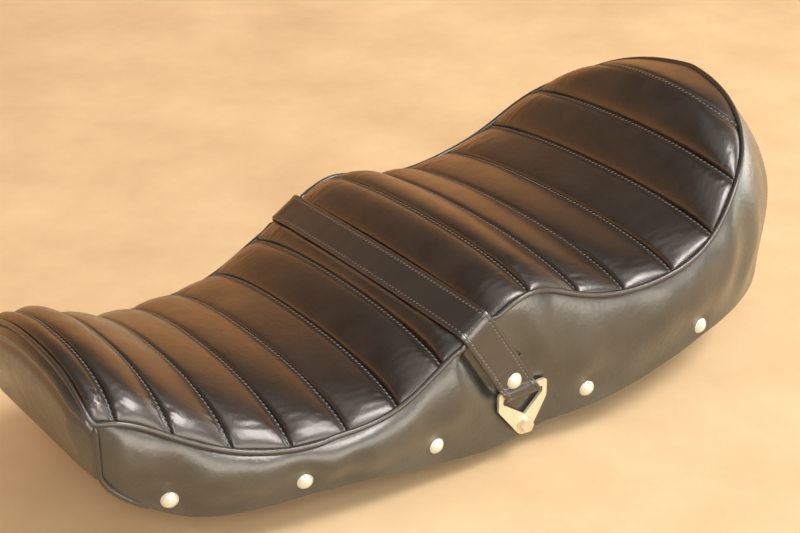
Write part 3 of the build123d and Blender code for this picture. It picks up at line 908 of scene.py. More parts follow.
@dataclass(frozen=True)
class TopPanel:
    """Padded top of the seat: rolls between sewn bands, closed underneath.

    Sizes are in millimetres. A range is where a cubic step starts and ends: along the seat
    for front, rear and last, in shares of a roll for starting and ending, and in shares of
    the way to the edge for the others. A bell is its middle and its width, in shares too.
    """
    form: SeatForm
    # Grid and outline
    columns: int = 161
    roll_rows: int = 20
    band: float = 3.6
    band_rows: Triple = (0.14, 0.5, 0.86)
    nose: float = 0.5
    corner: float = 5.0
    inset: float = 1.8
    end_x: float = -306.0
    bow_power: int = 6
    # Rolls
    puff: float = 3.6
    front_puff: float = 2.7
    front_range: Pair = (60.0, 150.0)
    rear_puff: float = 4.6
    rear_range: Pair = (-225.0, -250.0)
    side_puff: float = 1.6
    side_range: Pair = (0.45, 0.85)
    roll_lean: float = 0.9
    roll_fall: float = 0.72
    fade: float = 0.8
    # Tail, behind the last seam
    tail_share: float = 0.12
    tail_power: float = 2.2
    tail_margin: float = 4.0
    # Sewn lines
    groove: float = 2.0
    groove_width: float = 0.5
    tail_groove: float = 0.05
    crease: float = 0.5
    crease_width: float = 0.7
    deep: float = 0.7
    deep_range: Pair = (0.55, 0.88)
    flat_range: Pair = (0.97, 1.0)
    last_range: Pair = (-262.0, -284.0)
    last_side: Pair = (0.72, 0.96)
    # Puckers
    pucker: float = 0.4
    waves: int = 8
    wave_length: Pair = (5.0, 17.0)
    wave_slope: float = 0.9
    wander: float = 1.5
    wander_length: float = 23.0
    front_bell: Pair = (0.12, 0.12)
    rear_bell: Pair = (0.9, 0.08)
    shoulder_bell: Pair = (0.86, 0.1)
    everywhere: float = 0.08
    at_ends: float = 0.5
    on_crown: float = 0.3
    starting: Pair = (0.0, 0.08)
    ending: Pair = (0.94, 1.0)
    at_edge: Pair = (0.96, 1.0)
    seed: int = 11
    # Under the strap: gap, and where the pressing ends past the strap's edge
    strap_gap: float = 0.5
    strap_reach: Pair = (-0.5, 4.0)
    # Underside: share of the way down and inward step of each ring
    under_rings: tuple[Pair, ...] = ((0.12, 2.5), (0.5, 11.0), (1.0, 12.0))
    under_half: float = 140.0
    under_reach: float = 330.0
    under_gap: float = 1.0
    # Stitches; the strap hides one seam
    hidden_seam: float = 18.0
    stitch_pitch: float = 4.2
    stitch_margin: float = 1.8
    stitch_columns: int = 3
    stitch_lift: float = 0.1

    def rows(self) -> Rows:
        """Rows of the grid.

        A roll's rows crowd towards its two ends: x moves by half of 1 - cos. Behind it come
        three rows on the sewn band. Groove and crease fall off as exp(-distance / width) from
        the band's rear and front edge. The tail's rows end on the piping behind the last
        seam, and their share of the tail starts just over zero.

        Returns:
            The rows, from the front.
        """
        half_band = self.band / 2
        turn = 0.5 - 0.5 * np.cos(np.linspace(0.0, math.pi, self.roll_rows + 1))
        rows = []
        front = self.form.front_x + self.nose
        for seam in self.form.seams[1:]:
            low = seam.x + half_band
            rear = seam.x - half_band
            x = front + (low - front) * turn
            rows.append(np.stack([x, turn, np.exp(-(front - x) / self.groove_width),
                                  np.exp(-(x - low) / self.crease_width), 0.0 * x], 1))
            x = low - np.array(self.band_rows) * self.band
            rows.append(np.stack([x, 0.0 * x, np.exp(-(x - rear) / self.groove_width),
                                  np.exp(-(low - x) / self.crease_width), 0.0 * x], 1))
            front = rear
        x = front + (self.end_x - front) * turn
        rows.append(np.stack([x, turn, np.exp(-turn / self.tail_groove), 0.0 * x,
                              np.maximum(turn, 1e-6)], 1))
        return Rows(*np.concatenate(rows).T)

    def spread(self) -> np.ndarray:
        """Places of the columns from -1 to 1: sines of even steps, closer at the edges."""
        return np.sin(0.5 * math.pi * np.linspace(-1.0, 1.0, self.columns))

    def surface(self) -> tuple[np.ndarray, Rows]:
        """Grid of the panel's upper face.

        It is plain grid + normal * stuffing, pressed down under the strap.

        Returns:
            Points (rows, columns, 3) and the grid's rows.
        """
        rows = self.rows()
        base = self.plain_grid(rows)
        lift = self.stuffing(base, rows)
        points = base + grid_normals(base) * lift[..., None]
        return self.press_under_strap(points), rows

    def plain_grid(self, rows: Rows) -> np.ndarray:
        """Grid of the panel without its rolls.

        With t a column's place, y is half width * t, the height is
        edge + rise * (1 - |t|^shoulder)^fall, and x is the row's end + bow * (1 - |t|^6).
        The front corners are quarter circles. Behind the last seam x closes in on the
        piping, and the height follows rays from the seam's middle to the piping.

        Args:
            rows: the grid's rows.

        Returns:
            Points (rows, columns, 3).
        """
        form = self.form
        line = form.piping_line()
        forward = line[::-1]
        t = self.spread()
        half = np.interp(rows.x, forward[:, 0], forward[:, 1]) - self.inset
        nose = np.clip((rows.x - form.front_x + self.corner) / (self.corner + self.nose),
                       0.0, 1.0)
        half -= self.corner * (1.0 - np.sqrt(1.0 - nose ** 2))
        y = half[:, None] * t[None, :]
        tail_half = np.interp(self.end_x, forward[:, 0], forward[:, 1]) - self.inset
        rear = line[line[:, 0] < self.end_x + 1.0]
        arc = np.interp(np.abs(t) * tail_half, rear[::-1, 1], rear[::-1, 0]) - self.end_x
        bow = natural_spline([s.x for s in form.seams], [s.bow for s in form.seams], rows.x)
        bow = bow * (1.0 - rows.tail)
        x = (rows.x[:, None] + rows.tail[:, None] * arc[None, :]
             + bow[:, None] * (1.0 - np.abs(t) ** self.bow_power)[None, :])
        z = (form.edge_height(rows.x)[:, None]
             + form.crown_rise(rows.x)[:, None] * form.section(t)[None, :])
        tail = rows.tail > 0.0
        first = int(np.argmax(tail))
        high = self.tail_height(x[tail], y[tail], line)
        z[tail] = high + (z[first] - high[0]) * (1.0 - rows.tail[tail][:, None])
        return np.stack([x, y, z], 2)

    def tail_height(self, x: np.ndarray, y: np.ndarray, line: np.ndarray) -> np.ndarray:
        """Height behind the last seam, along rays from the seam's middle to the piping.

        Args:
            x: places along the seat.
            y: places across it.
            line: left half of the piping line.

        Returns:
            piping + (top - piping) * (1 - share^tail_power), share being the part of the
            ray that is passed.
        """
        last = self.form.top_x
        rear = line[line[:, 0] < last + self.tail_margin]
        angles = np.arctan2(last - rear[:, 0], rear[:, 1])
        reach = np.hypot(last - rear[:, 0], rear[:, 1])
        angle = np.arctan2(last - x, np.abs(y))
        limit = np.interp(angle, angles, reach - self.inset)
        low = np.interp(angle, angles, rear[:, 2])
        share = np.hypot(last - x, y) / limit
        return low + (self.form.top_rise - low) * (1.0 - np.minimum(share, 1.0) ** self.tail_power)

    def stuffing(self, base: np.ndarray, rows: Rows) -> np.ndarray:
        """How far the leather stands off the plain grid.

        A roll stands puff * (1 - |2 phase^lean - 1|^2)^fall high. Its puff differs from front
        to rear, grows towards the sides and ends there as a quarter circle. Puckers are
        added. Groove and crease are taken off, deeper towards the sides and not at the very
        edge. At the ends of the last seam both fade out.

        Args:
            base: (rows, columns, 3) plain grid.
            rows: the grid's rows.

        Returns:
            Array (rows, columns), in millimetres.
        """
        edge = np.abs(self.spread())
        phase = np.abs(2.0 * rows.phase ** self.roll_lean - 1.0)
        roll = (1.0 - phase ** 2.0) ** self.roll_fall
        crown = (self.puff
                 + (self.front_puff - self.puff) * smooth_step(*self.front_range, rows.x)
                 + (self.rear_puff - self.puff) * smooth_step(*self.rear_range, rows.x))
        size = crown[:, None] + self.side_puff * smooth_step(*self.side_range, edge)[None, :]
        size[rows.tail > 0.0] *= self.tail_share
        fade = np.sqrt(1.0 - np.clip((edge - self.fade) / (1.0 - self.fade), 0.0, 1.0) ** 2)
        lift = roll[:, None] * size * fade[None, :]
        last = smooth_step(*self.last_range, rows.x)[:, None]
        lift += self.puckers(base, rows.phase, edge) * (1.0 - last)
        sewn = self.groove * rows.groove + self.crease * rows.crease
        drawn = (1.0 + self.deep * smooth_step(*self.deep_range, edge)
                 - smooth_step(*self.flat_range, edge))
        kept = 1.0 - last * smooth_step(*self.last_side, edge)
        lift -= sewn[:, None] * drawn[None, :] * kept
        return lift

    def puckers(self, points: np.ndarray, phase: np.ndarray, edge: np.ndarray) -> np.ndarray:
        """Small folds where the leather is gathered, at the seams and over the piping.

        Seeded sine waves across the seams, whose phase wanders slowly along the seat, times
        a window that is high near a roll's two ends and over the shoulder.

        Args:
            points: (rows, columns, 3) plain grid.
            phase: (rows,) share of the way through each roll.
            edge: (columns,) share of the way to the edge.

        Returns:
            Array (rows, columns), in millimetres.
        """
        random = np.random.default_rng(self.seed)
        x, y = points[..., 0], points[..., 1]
        total = 0.0
        for length in random.uniform(*self.wave_length, self.waves):
            slope = random.uniform(-self.wave_slope, self.wave_slope)
            turn = random.uniform(0.0, math.tau)
            wander = self.wander * np.sin(x / self.wander_length + turn)
            total = total + np.sin(math.tau * (y + slope * x) / length + turn + wander)
        ends = bell(phase, *self.front_bell) + bell(phase, *self.rear_bell)
        shoulder = bell(edge, *self.shoulder_bell)[None, :]
        inside = smooth_step(*self.starting, phase) * (1.0 - smooth_step(*self.ending, phase))
        window = (self.everywhere + self.at_ends * ends[:, None] * (self.on_crown + shoulder)
                  + shoulder) * inside[:, None]
        kept = (1.0 - smooth_step(*self.at_edge, edge))[None, :]
        return self.pucker / self.waves * total * window * kept

    def press_under_strap(self, points: np.ndarray) -> np.ndarray:
        """Push what lies under the strap down to the strap's inner face.

        Args:
            points: (rows, columns, 3) grid of the upper face.

        Returns:
            The grid, each point lowered by what it stands over the face, less beside the strap.
        """
        strap = Strap(self.form)
        lean, rise = strap.directions()
        offset = points - strap.origin()
        limit = strap.arch_height(points[..., 1]) - self.strap_gap
        near = 1.0 - smooth_step(strap.width / 2 + self.strap_reach[0],
                                 strap.width / 2 + self.strap_reach[1], np.abs(offset @ lean))
        over = np.maximum(offset @ rise - limit, 0.0) * near
        return points - over[..., None] * rise

    def closed(self, points: np.ndarray) -> MeshParts:
        """The upper face closed underneath.

        Its boundary is carried down and inward ring by ring to just above the pan's web, and
        strips join its left and right sides below.

        Args:
            points: (rows, columns, 3) grid of the upper face.

        Returns:
            Vertices and faces.
        """
        rows, columns = points.shape[:2]
        number = np.arange(rows * columns).reshape(rows, columns)
        loop = np.concatenate([number[0], number[1:, -1], number[-1, -2::-1],
                               number[-2:0:-1, 0]])
        rim = points.reshape(-1, 3)[loop]
        floor = self.form.side_line(self.form.web, rim[:, 0]) + self.under_gap
        rings = []
        for share, tuck in self.under_rings:
            ring = rim.copy()
            ring[:, 1] *= 1.0 - tuck / self.under_half
            ring[:, 0] *= 1.0 - tuck / self.under_reach
            ring[:, 2] = rim[:, 2] * (1.0 - share) + floor * share
            rings.append(ring)
        count = len(loop)
        start = rows * columns
        numbers = [loop] + [start + k * count + np.arange(count) for k in range(len(rings))]
        faces = grid_faces(rows, columns).tolist()
        for upper, lower in zip(numbers, numbers[1:]):
            quads = [upper, lower, np.roll(lower, -1), np.roll(upper, -1)]
            faces += np.stack(quads, 1).tolist()
        bottom = numbers[-1]
        row = np.arange(rows)
        left = bottom[columns - 1 + row]
        right = bottom[(count - row) % count]
        strips = np.stack([right[1:-1], right[2:], left[2:], left[1:-1]], 1)
        faces += strips.tolist()
        faces.append([int(right[1]), int(left[1])] + bottom[columns - 1::-1].tolist())
        faces.append(bottom[columns + rows - 2:2 * columns + rows - 2][::-1].tolist())
        return np.concatenate([points.reshape(-1, 3)] + rings), faces

    def build(self, material: bpy.types.Material, thread: bpy.types.Material) -> None:
        """Make the panel and its stitches.

        Args:
            material: the leather.
            thread: the stitches' finish.
        """
        points, rows = self.surface()
        vertices, faces = self.closed(points)
        made = make_object("top_panel", self.form.place(vertices), faces, "seat", material)
        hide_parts("cushion")
        self.sew(points, rows, thread)

    def sew(self, points: np.ndarray, rows: Rows, thread: bpy.types.Material) -> None:
        """Rows of stitches on the sewn bands, but for the seam that the strap hides.

        Args:
            points: grid of the panel's upper face.
            rows: the grid's rows.
            thread: the stitches' finish.
        """
        normal = grid_normals(points)
        inner = slice(self.stitch_columns, -self.stitch_columns)
        sewn = []
        for seam in self.form.seams[1:]:
            if seam.x == self.hidden_seam:
                continue
            row = int(np.argmin(np.where(rows.tail > 0.0, np.inf, np.abs(rows.x - seam.x))))
            line = points[row, inner] + self.stitch_lift * normal[row, inner]
            places = np.arange(self.stitch_margin, along(line)[-1] - self.stitch_margin,
                               self.stitch_pitch)
            sewn.append(Stitches().along_line(line, normal[row, inner], places))
        vertices, faces = joined(sewn)
        made = make_object("panel_stitches", self.form.place(vertices), faces, "seat", thread)


@dataclass(frozen=True)
class Strap:
    """Leather strap across the seat, each end doubled round the bar of its plate.

    Sizes are in millimetres, heights of the seat's frame. The arch over the seat lies in a
    plane that leans forward. A range is where a cubic step starts and ends.
    """
    form: SeatForm
    width: float = 29.6
    thick: float = 2.5
    cross_x: float = 23.6
    cross_z: float = 5.7
    lean: float = math.radians(32.0)
    half: float = 136.3
    rise: float = 12.0
    bend: float = 8.0
    # Legs and the bar they turn round
    leg_top: float = 2.0
    double_top: float = -30.0
    ramp: float = 26.0
    lap: float = 1.5
    bar_z: float = -56.0
    bar_h: float = 6.0
    step_over: float = 3.0
    plate: float = 2.5
    slip: float = 3.2
    slip_range: Pair = (2.0, 26.0)
    level_range: Pair = (-48.0, -20.0)
    # Points of the path
    crown_points: int = 90
    bend_points: int = 14
    loop_points: int = 13
    under_points: int = 26
    least_step: float = 0.05
    path_step: float = 1.2
    path_passes: int = 3
    # Face: folded edges and stitch lines
    face_points: int = 41
    side_points: int = 9
    side_trim: float = 0.08
    fold_height: float = 0.35
    fold_width: float = 1.2
    fold_inset: float = 2.0
    line_depth: float = 0.3
    line_width: float = 0.7
    # Creases
    crumple: float = 0.45
    waves: int = 7
    wave_sum: float = 3.0
    wave_length: Pair = (9.0, 30.0)
    wave_slope: float = 0.5
    leg_margin: float = 2.0
    bend_width: float = 12.0
    bar_above: float = 6.0
    bar_width: float = 16.0
    everywhere: float = 0.08
    on_leg: float = 0.35
    at_bend: float = 0.45
    at_bar: float = 0.7
    seed: int = 8
    # Stitches
    stitch_inset: float = 4.0
    stitch_pitch: float = 4.0
    stitch_margin: float = 1.5
    stitch_sink: float = 0.25
    hidden: float = 30.0

    def origin(self) -> np.ndarray:
        """Point where the strap's middle crosses the piping's height."""
        return np.array([self.cross_x, 0.0, self.cross_z])

    def directions(self) -> tuple[np.ndarray, np.ndarray]:
        """Unit directions across the strap, which is forward, and up its leaning plane.

        Returns:
            The two directions.
        """
        lean = np.array([math.cos(self.lean), 0.0, -math.sin(self.lean)])
        rise = np.array([math.sin(self.lean), 0.0, math.cos(self.lean)])
        return lean, rise

    def crown_radius(self) -> float:
        """Radius of the long arc over the seat, tangent to the bends over the piping."""
        run = self.half - self.bend
        return (run ** 2 + self.rise ** 2 - self.bend ** 2) / (2 * (self.rise - self.bend))

    def arch_height(self, y: np.ndarray) -> np.ndarray:
        """Height of the strap's inner face in its leaning plane.

        The long arc up to where it touches the bend, then the bend's own circle, then zero
        past the straight legs.

        Args:
            y: places across the seat.

        Returns:
            Heights above the strap's origin.
        """
        radius = self.crown_radius()
        run = self.half - self.bend
        touch = run * (1.0 + self.bend / math.hypot(run, radius - self.rise))
        side = np.abs(y)
        crown = self.rise - radius + np.sqrt(np.maximum(radius ** 2 - side ** 2, 0.0))
        corner = np.sqrt(np.maximum(self.bend ** 2 - (side - run) ** 2, 0.0))
        return np.where(side < touch, crown, corner)

    def leg_path(self) -> np.ndarray:
        """Middle line of the left leg's leather.

        It runs straight down, steps out over its own hidden end and over the plate, turns
        round the bar in a half circle and comes up again inside. A stretch between two
        corners has about a point for each millimetre of height.

        Returns:
            Array (points, 2) of y and z.
        """
        leg = self.half + self.thick / 2
        second = leg + self.thick
        third = second + self.plate
        bar_top = self.bar_z + self.bar_h / 2
        turn_z = self.bar_z - self.bar_h / 2
        corners = [(leg, self.leg_top), (leg, self.double_top + self.ramp),
                   (second, self.double_top + self.lap), (second, bar_top + self.step_over),
                   (third, bar_top), (third, turn_z)]
        pieces = []
        for (y0, z0), (y1, z1) in zip(corners, corners[1:]):
            count = max(int(abs(z1 - z0)), 2)
            pieces.append(np.stack([np.linspace(y0, y1, count), np.linspace(z0, z1, count)], 1))
        turn_y = (third + leg) / 2
        radius = (third - leg) / 2
        loop = np.linspace(0.0, math.pi, self.loop_points)[1:-1]
        round_bar = np.stack([turn_y + radius * np.cos(loop), turn_z - radius * np.sin(loop)], 1)
        inside = np.stack([np.full(self.under_points, leg),
                           np.linspace(turn_z, self.double_top - self.lap, self.under_points)], 1)
        return np.concatenate(pieces + [round_bar, inside])

    def path(self) -> np.ndarray:
        """Middle line of the left half's leather, from the crown to the hidden end.

        In the leaning plane it follows the long arc, the bend over the piping and the leg.
        Its points are then spread evenly and softened.

        Returns:
            Array (points, 2) of y and height in the plane.
        """
        radius = self.crown_radius() + self.thick / 2
        bend = self.bend + self.thick / 2
        run = self.half - self.bend
        centre = np.array([0.0, self.rise - self.crown_radius()])
        turn = math.atan2(run, -centre[1])
        crown = np.linspace(0.0, turn, self.crown_points)
        corner = np.linspace(turn, math.pi / 2, self.bend_points)[1:]
        leg = self.leg_path()
        leg[:, 1] = (leg[:, 1] - self.cross_z) / math.cos(self.lean)
        whole = np.concatenate([
            centre + radius * np.stack([np.sin(crown), np.cos(crown)], 1),
            np.array([run, 0.0]) + bend * np.stack([np.sin(corner), np.cos(corner)], 1),
            leg])
        steps = np.linalg.norm(np.diff(whole, axis=0), axis=1)
        whole = whole[np.concatenate([[True], steps > self.least_step])]
        length = along(whole)[-1]
        places = np.linspace(0.0, length, int(length / self.path_step))
        return soften(spaced(whole, [], places)[0], self.path_passes, closed=False)

    def face_profile(self) -> np.ndarray:
        """Section of the strap: flat under, folded edges and sunken stitch lines above.

        The upper face is half the thickness, less a bell at each stitch line, plus a low
        bell at each folded edge; both faces run into half circles at the sides.

        Returns:
            Array (points, 2), clockwise seen along the strap.
        """
        half, tall = self.width / 2, self.thick / 2 - self.side_trim
        curl = np.linspace(0.0, math.pi, self.side_points)
        w = half - tall + tall * np.sin(curl)
        sides = np.stack([w, tall * np.cos(curl)], 1)
        across = np.linspace(-(half - tall), half - tall, self.face_points)[1:-1]
        line = half - self.stitch_inset
        upper = tall + self.fold_height * bell(np.abs(across), line + self.fold_inset,
                                               self.fold_width)
        upper = upper - self.line_depth * bell(np.abs(across), line, self.line_width)
        lower = np.full_like(across, -tall)
        return np.concatenate([np.stack([across, upper], 1), sides,
                               np.stack([across[::-1], lower], 1),
                               (sides * np.array([-1.0, 1.0]))[::-1]])

    def frames(self) -> tuple[np.ndarray, np.ndarray, np.ndarray]:
        """Whole path in the seat's frame with its directions across and out of the leather.

        Across is the strap's axis, and turns level where the leather goes round the bar. The
        hidden ends slip a little to the rear.

        Returns:
            Points, directions across and directions out, each (points, 3).
        """
        lean, rise = self.directions()
        half = self.path()
        flat = np.concatenate([half[:0:-1] * np.array([-1.0, 1.0]), half])
        points = self.origin() + flat[:, :1] * np.array([0.0, 1.0, 0.0]) + flat[:, 1:] * rise
        travelled = along(points)
        to_end = np.minimum(travelled, travelled[-1] - travelled)
        slip = self.slip * (1.0 - smooth_step(*self.slip_range, to_end))
        points = points - slip[:, None] * lean
        level = 1.0 - smooth_step(*self.level_range, points[:, 2])
        across = lean + level[:, None] * math.tan(self.lean) * rise
        step = unit(np.gradient(flat, axis=0))
        out = step[:, :1] * rise - step[:, 1:] * np.array([0.0, 1.0, 0.0])
        return points, across, out

    def creases(self, points: np.ndarray, places: np.ndarray) -> np.ndarray:
        """Creases of the leather at the bend over the piping and round the plate's bar.

        Seeded sine waves of the distance along and the place across, times bells at the two
        bends and small shares on the legs and everywhere else.

        Args:
            points: (m, 3) middle line.
            places: (n,) places across the strap.

        Returns:
            Array (m, n), in millimetres.
        """
        random = np.random.default_rng(self.seed)
        run = along(points)
        total = 0.0
        for length in random.uniform(*self.wave_length, self.waves):
            slope = random.uniform(-self.wave_slope, self.wave_slope)
            turn = random.uniform(0.0, math.tau)
            total = total + np.sin(math.tau * (run[:, None] + slope * places[None, :]) / length
                                   + turn)
        side, height = np.abs(points[:, 1]), points[:, 2]
        leg = side > self.half - self.leg_margin
        bend = bell(np.hypot(side - self.half, height - self.cross_z), 0.0, self.bend_width)
        bar = leg * bell(height, self.bar_z + self.bar_above, self.bar_width)
        window = self.everywhere + self.on_leg * leg + self.at_bend * bend + self.at_bar * bar
        return self.crumple / self.wave_sum * total * window[:, None]

    def build(self, material: bpy.types.Material, thread: bpy.types.Material) -> None:
        """Make the strap and its stitches.

        Args:
            material: the leather.
            thread: the stitches' finish.
        """
        points, across, out = self.frames()
        profile = self.face_profile()
        fold = self.creases(points, profile[:, 0])
        section = np.stack([np.broadcast_to(profile[:, 0], fold.shape), profile[:, 1] + fold], 2)
        grid = carry(section, points, across, out)
        count, sides = grid.shape[:2]
        faces = grid_faces(count, sides, wrap_columns=True).tolist() + end_caps(count, sides)
        made = make_object("strap_leather", self.form.place(grid.reshape(-1, 3)), faces, "seat",
                           material)
        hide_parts("strap")
        self.sew(points, across, out, thread)

    def sew(self, points: np.ndarray, across: np.ndarray, out: np.ndarray,
            thread: bpy.types.Material) -> None:
        """Two rows of stitches, except on the hidden ends.

        Args:
            points: (m, 3) middle line.
            across: (m, 3) directions across it.
            out: (m, 3) directions out of the leather.
            thread: the stitches' finish.
        """
        places = np.arange(self.hidden + self.stitch_margin, along(points)[-1] - self.hidden,
                           self.stitch_pitch)
        rows = []
        for edge in Edge:
            place = edge.value * (self.width / 2 - self.stitch_inset)
            high = self.thick / 2 - self.stitch_sink + self.creases(points, np.array([place]))
            line = points + place * across + high * out
            rows.append(Stitches().along_line(line, out, places))
        vertices, faces = joined(rows)
        made = make_object("strap_stitches", self.form.place(vertices), faces, "seat", thread)


@dataclass(frozen=True)
class Stitches:
    """Row of short thread capsules laid on a line. Sizes are in millimetres."""
    length: float = 2.9
    wide: float = 0.58
    tall: float = 0.42
    dip: float = 0.35
    slant: float = math.radians(26.0)
    rings: int = 4
    sides: int = 6

    def template(self) -> MeshParts:
        """One stitch: a long rounded bead whose ends dip, with a pole at each end.

        Ring k stands at s = -cos(a), its radius is sin(a)^0.5, and the height falls by
        dip * s^2.

        Returns:
            Vertices (n, 3) along, across and up, and faces.
        """
        angle = np.linspace(0.0, math.pi, self.rings + 2)[1:-1]
        place, radius = -np.cos(angle), np.sin(angle) ** 0.5
        turn = np.linspace(0.0, math.tau, self.sides, endpoint=False)
        rings = np.stack([
            np.repeat(place, self.sides) * self.length / 2,
            (radius[:, None] * np.cos(turn)).ravel() * self.wide,
            (radius[:, None] * np.sin(turn)).ravel() * self.tall
            - self.dip * np.repeat(place, self.sides) ** 2], 1)
        poles = np.array([[-self.length / 2, 0.0, -self.dip], [self.length / 2, 0.0, -self.dip]])
        faces = grid_faces(self.rings, self.sides, wrap_columns=True)[:, ::-1].tolist()
        last = self.rings * self.sides
        for k in range(self.sides):
            after = (k + 1) % self.sides
            faces.append([last, after, k])
            faces.append([last + 1, last - self.sides + k, last - self.sides + after])
        return np.concatenate([rings, poles]), faces

    def along_line(self, line: np.ndarray, up: np.ndarray, places: np.ndarray) -> MeshParts:
        """Stitches at distances along a line.

        Each vertex is place + ahead * s + side * w + up * h, ahead and side being turned by
        the slant in the surface.

        Args:
            line: (m, 3) points on the surface.
            up: (m, 3) normals.
            places: distances of the stitches' middles.

        Returns:
            Vertices and faces.
        """
        run = unit(np.gradient(line, axis=0))
        centre, run, up = spaced(line, [run, up], places)
        run, up = unit(run), unit(up)
        side = np.cross(up, run)
        ahead = math.cos(self.slant) * run + math.sin(self.slant) * side
        side = np.cross(up, ahead)
        bead, faces = self.template()
        points = (centre[:, None, :] + bead[None, :, :1] * ahead[:, None, :]
                  + bead[None, :, 1:2] * side[:, None, :] + bead[None, :, 2:] * up[:, None, :])
        start = np.arange(len(places)) * len(bead)
        every = [[index + offset for index in face] for offset in start.tolist()
                 for face in faces]
        return points.reshape(-1, 3), every


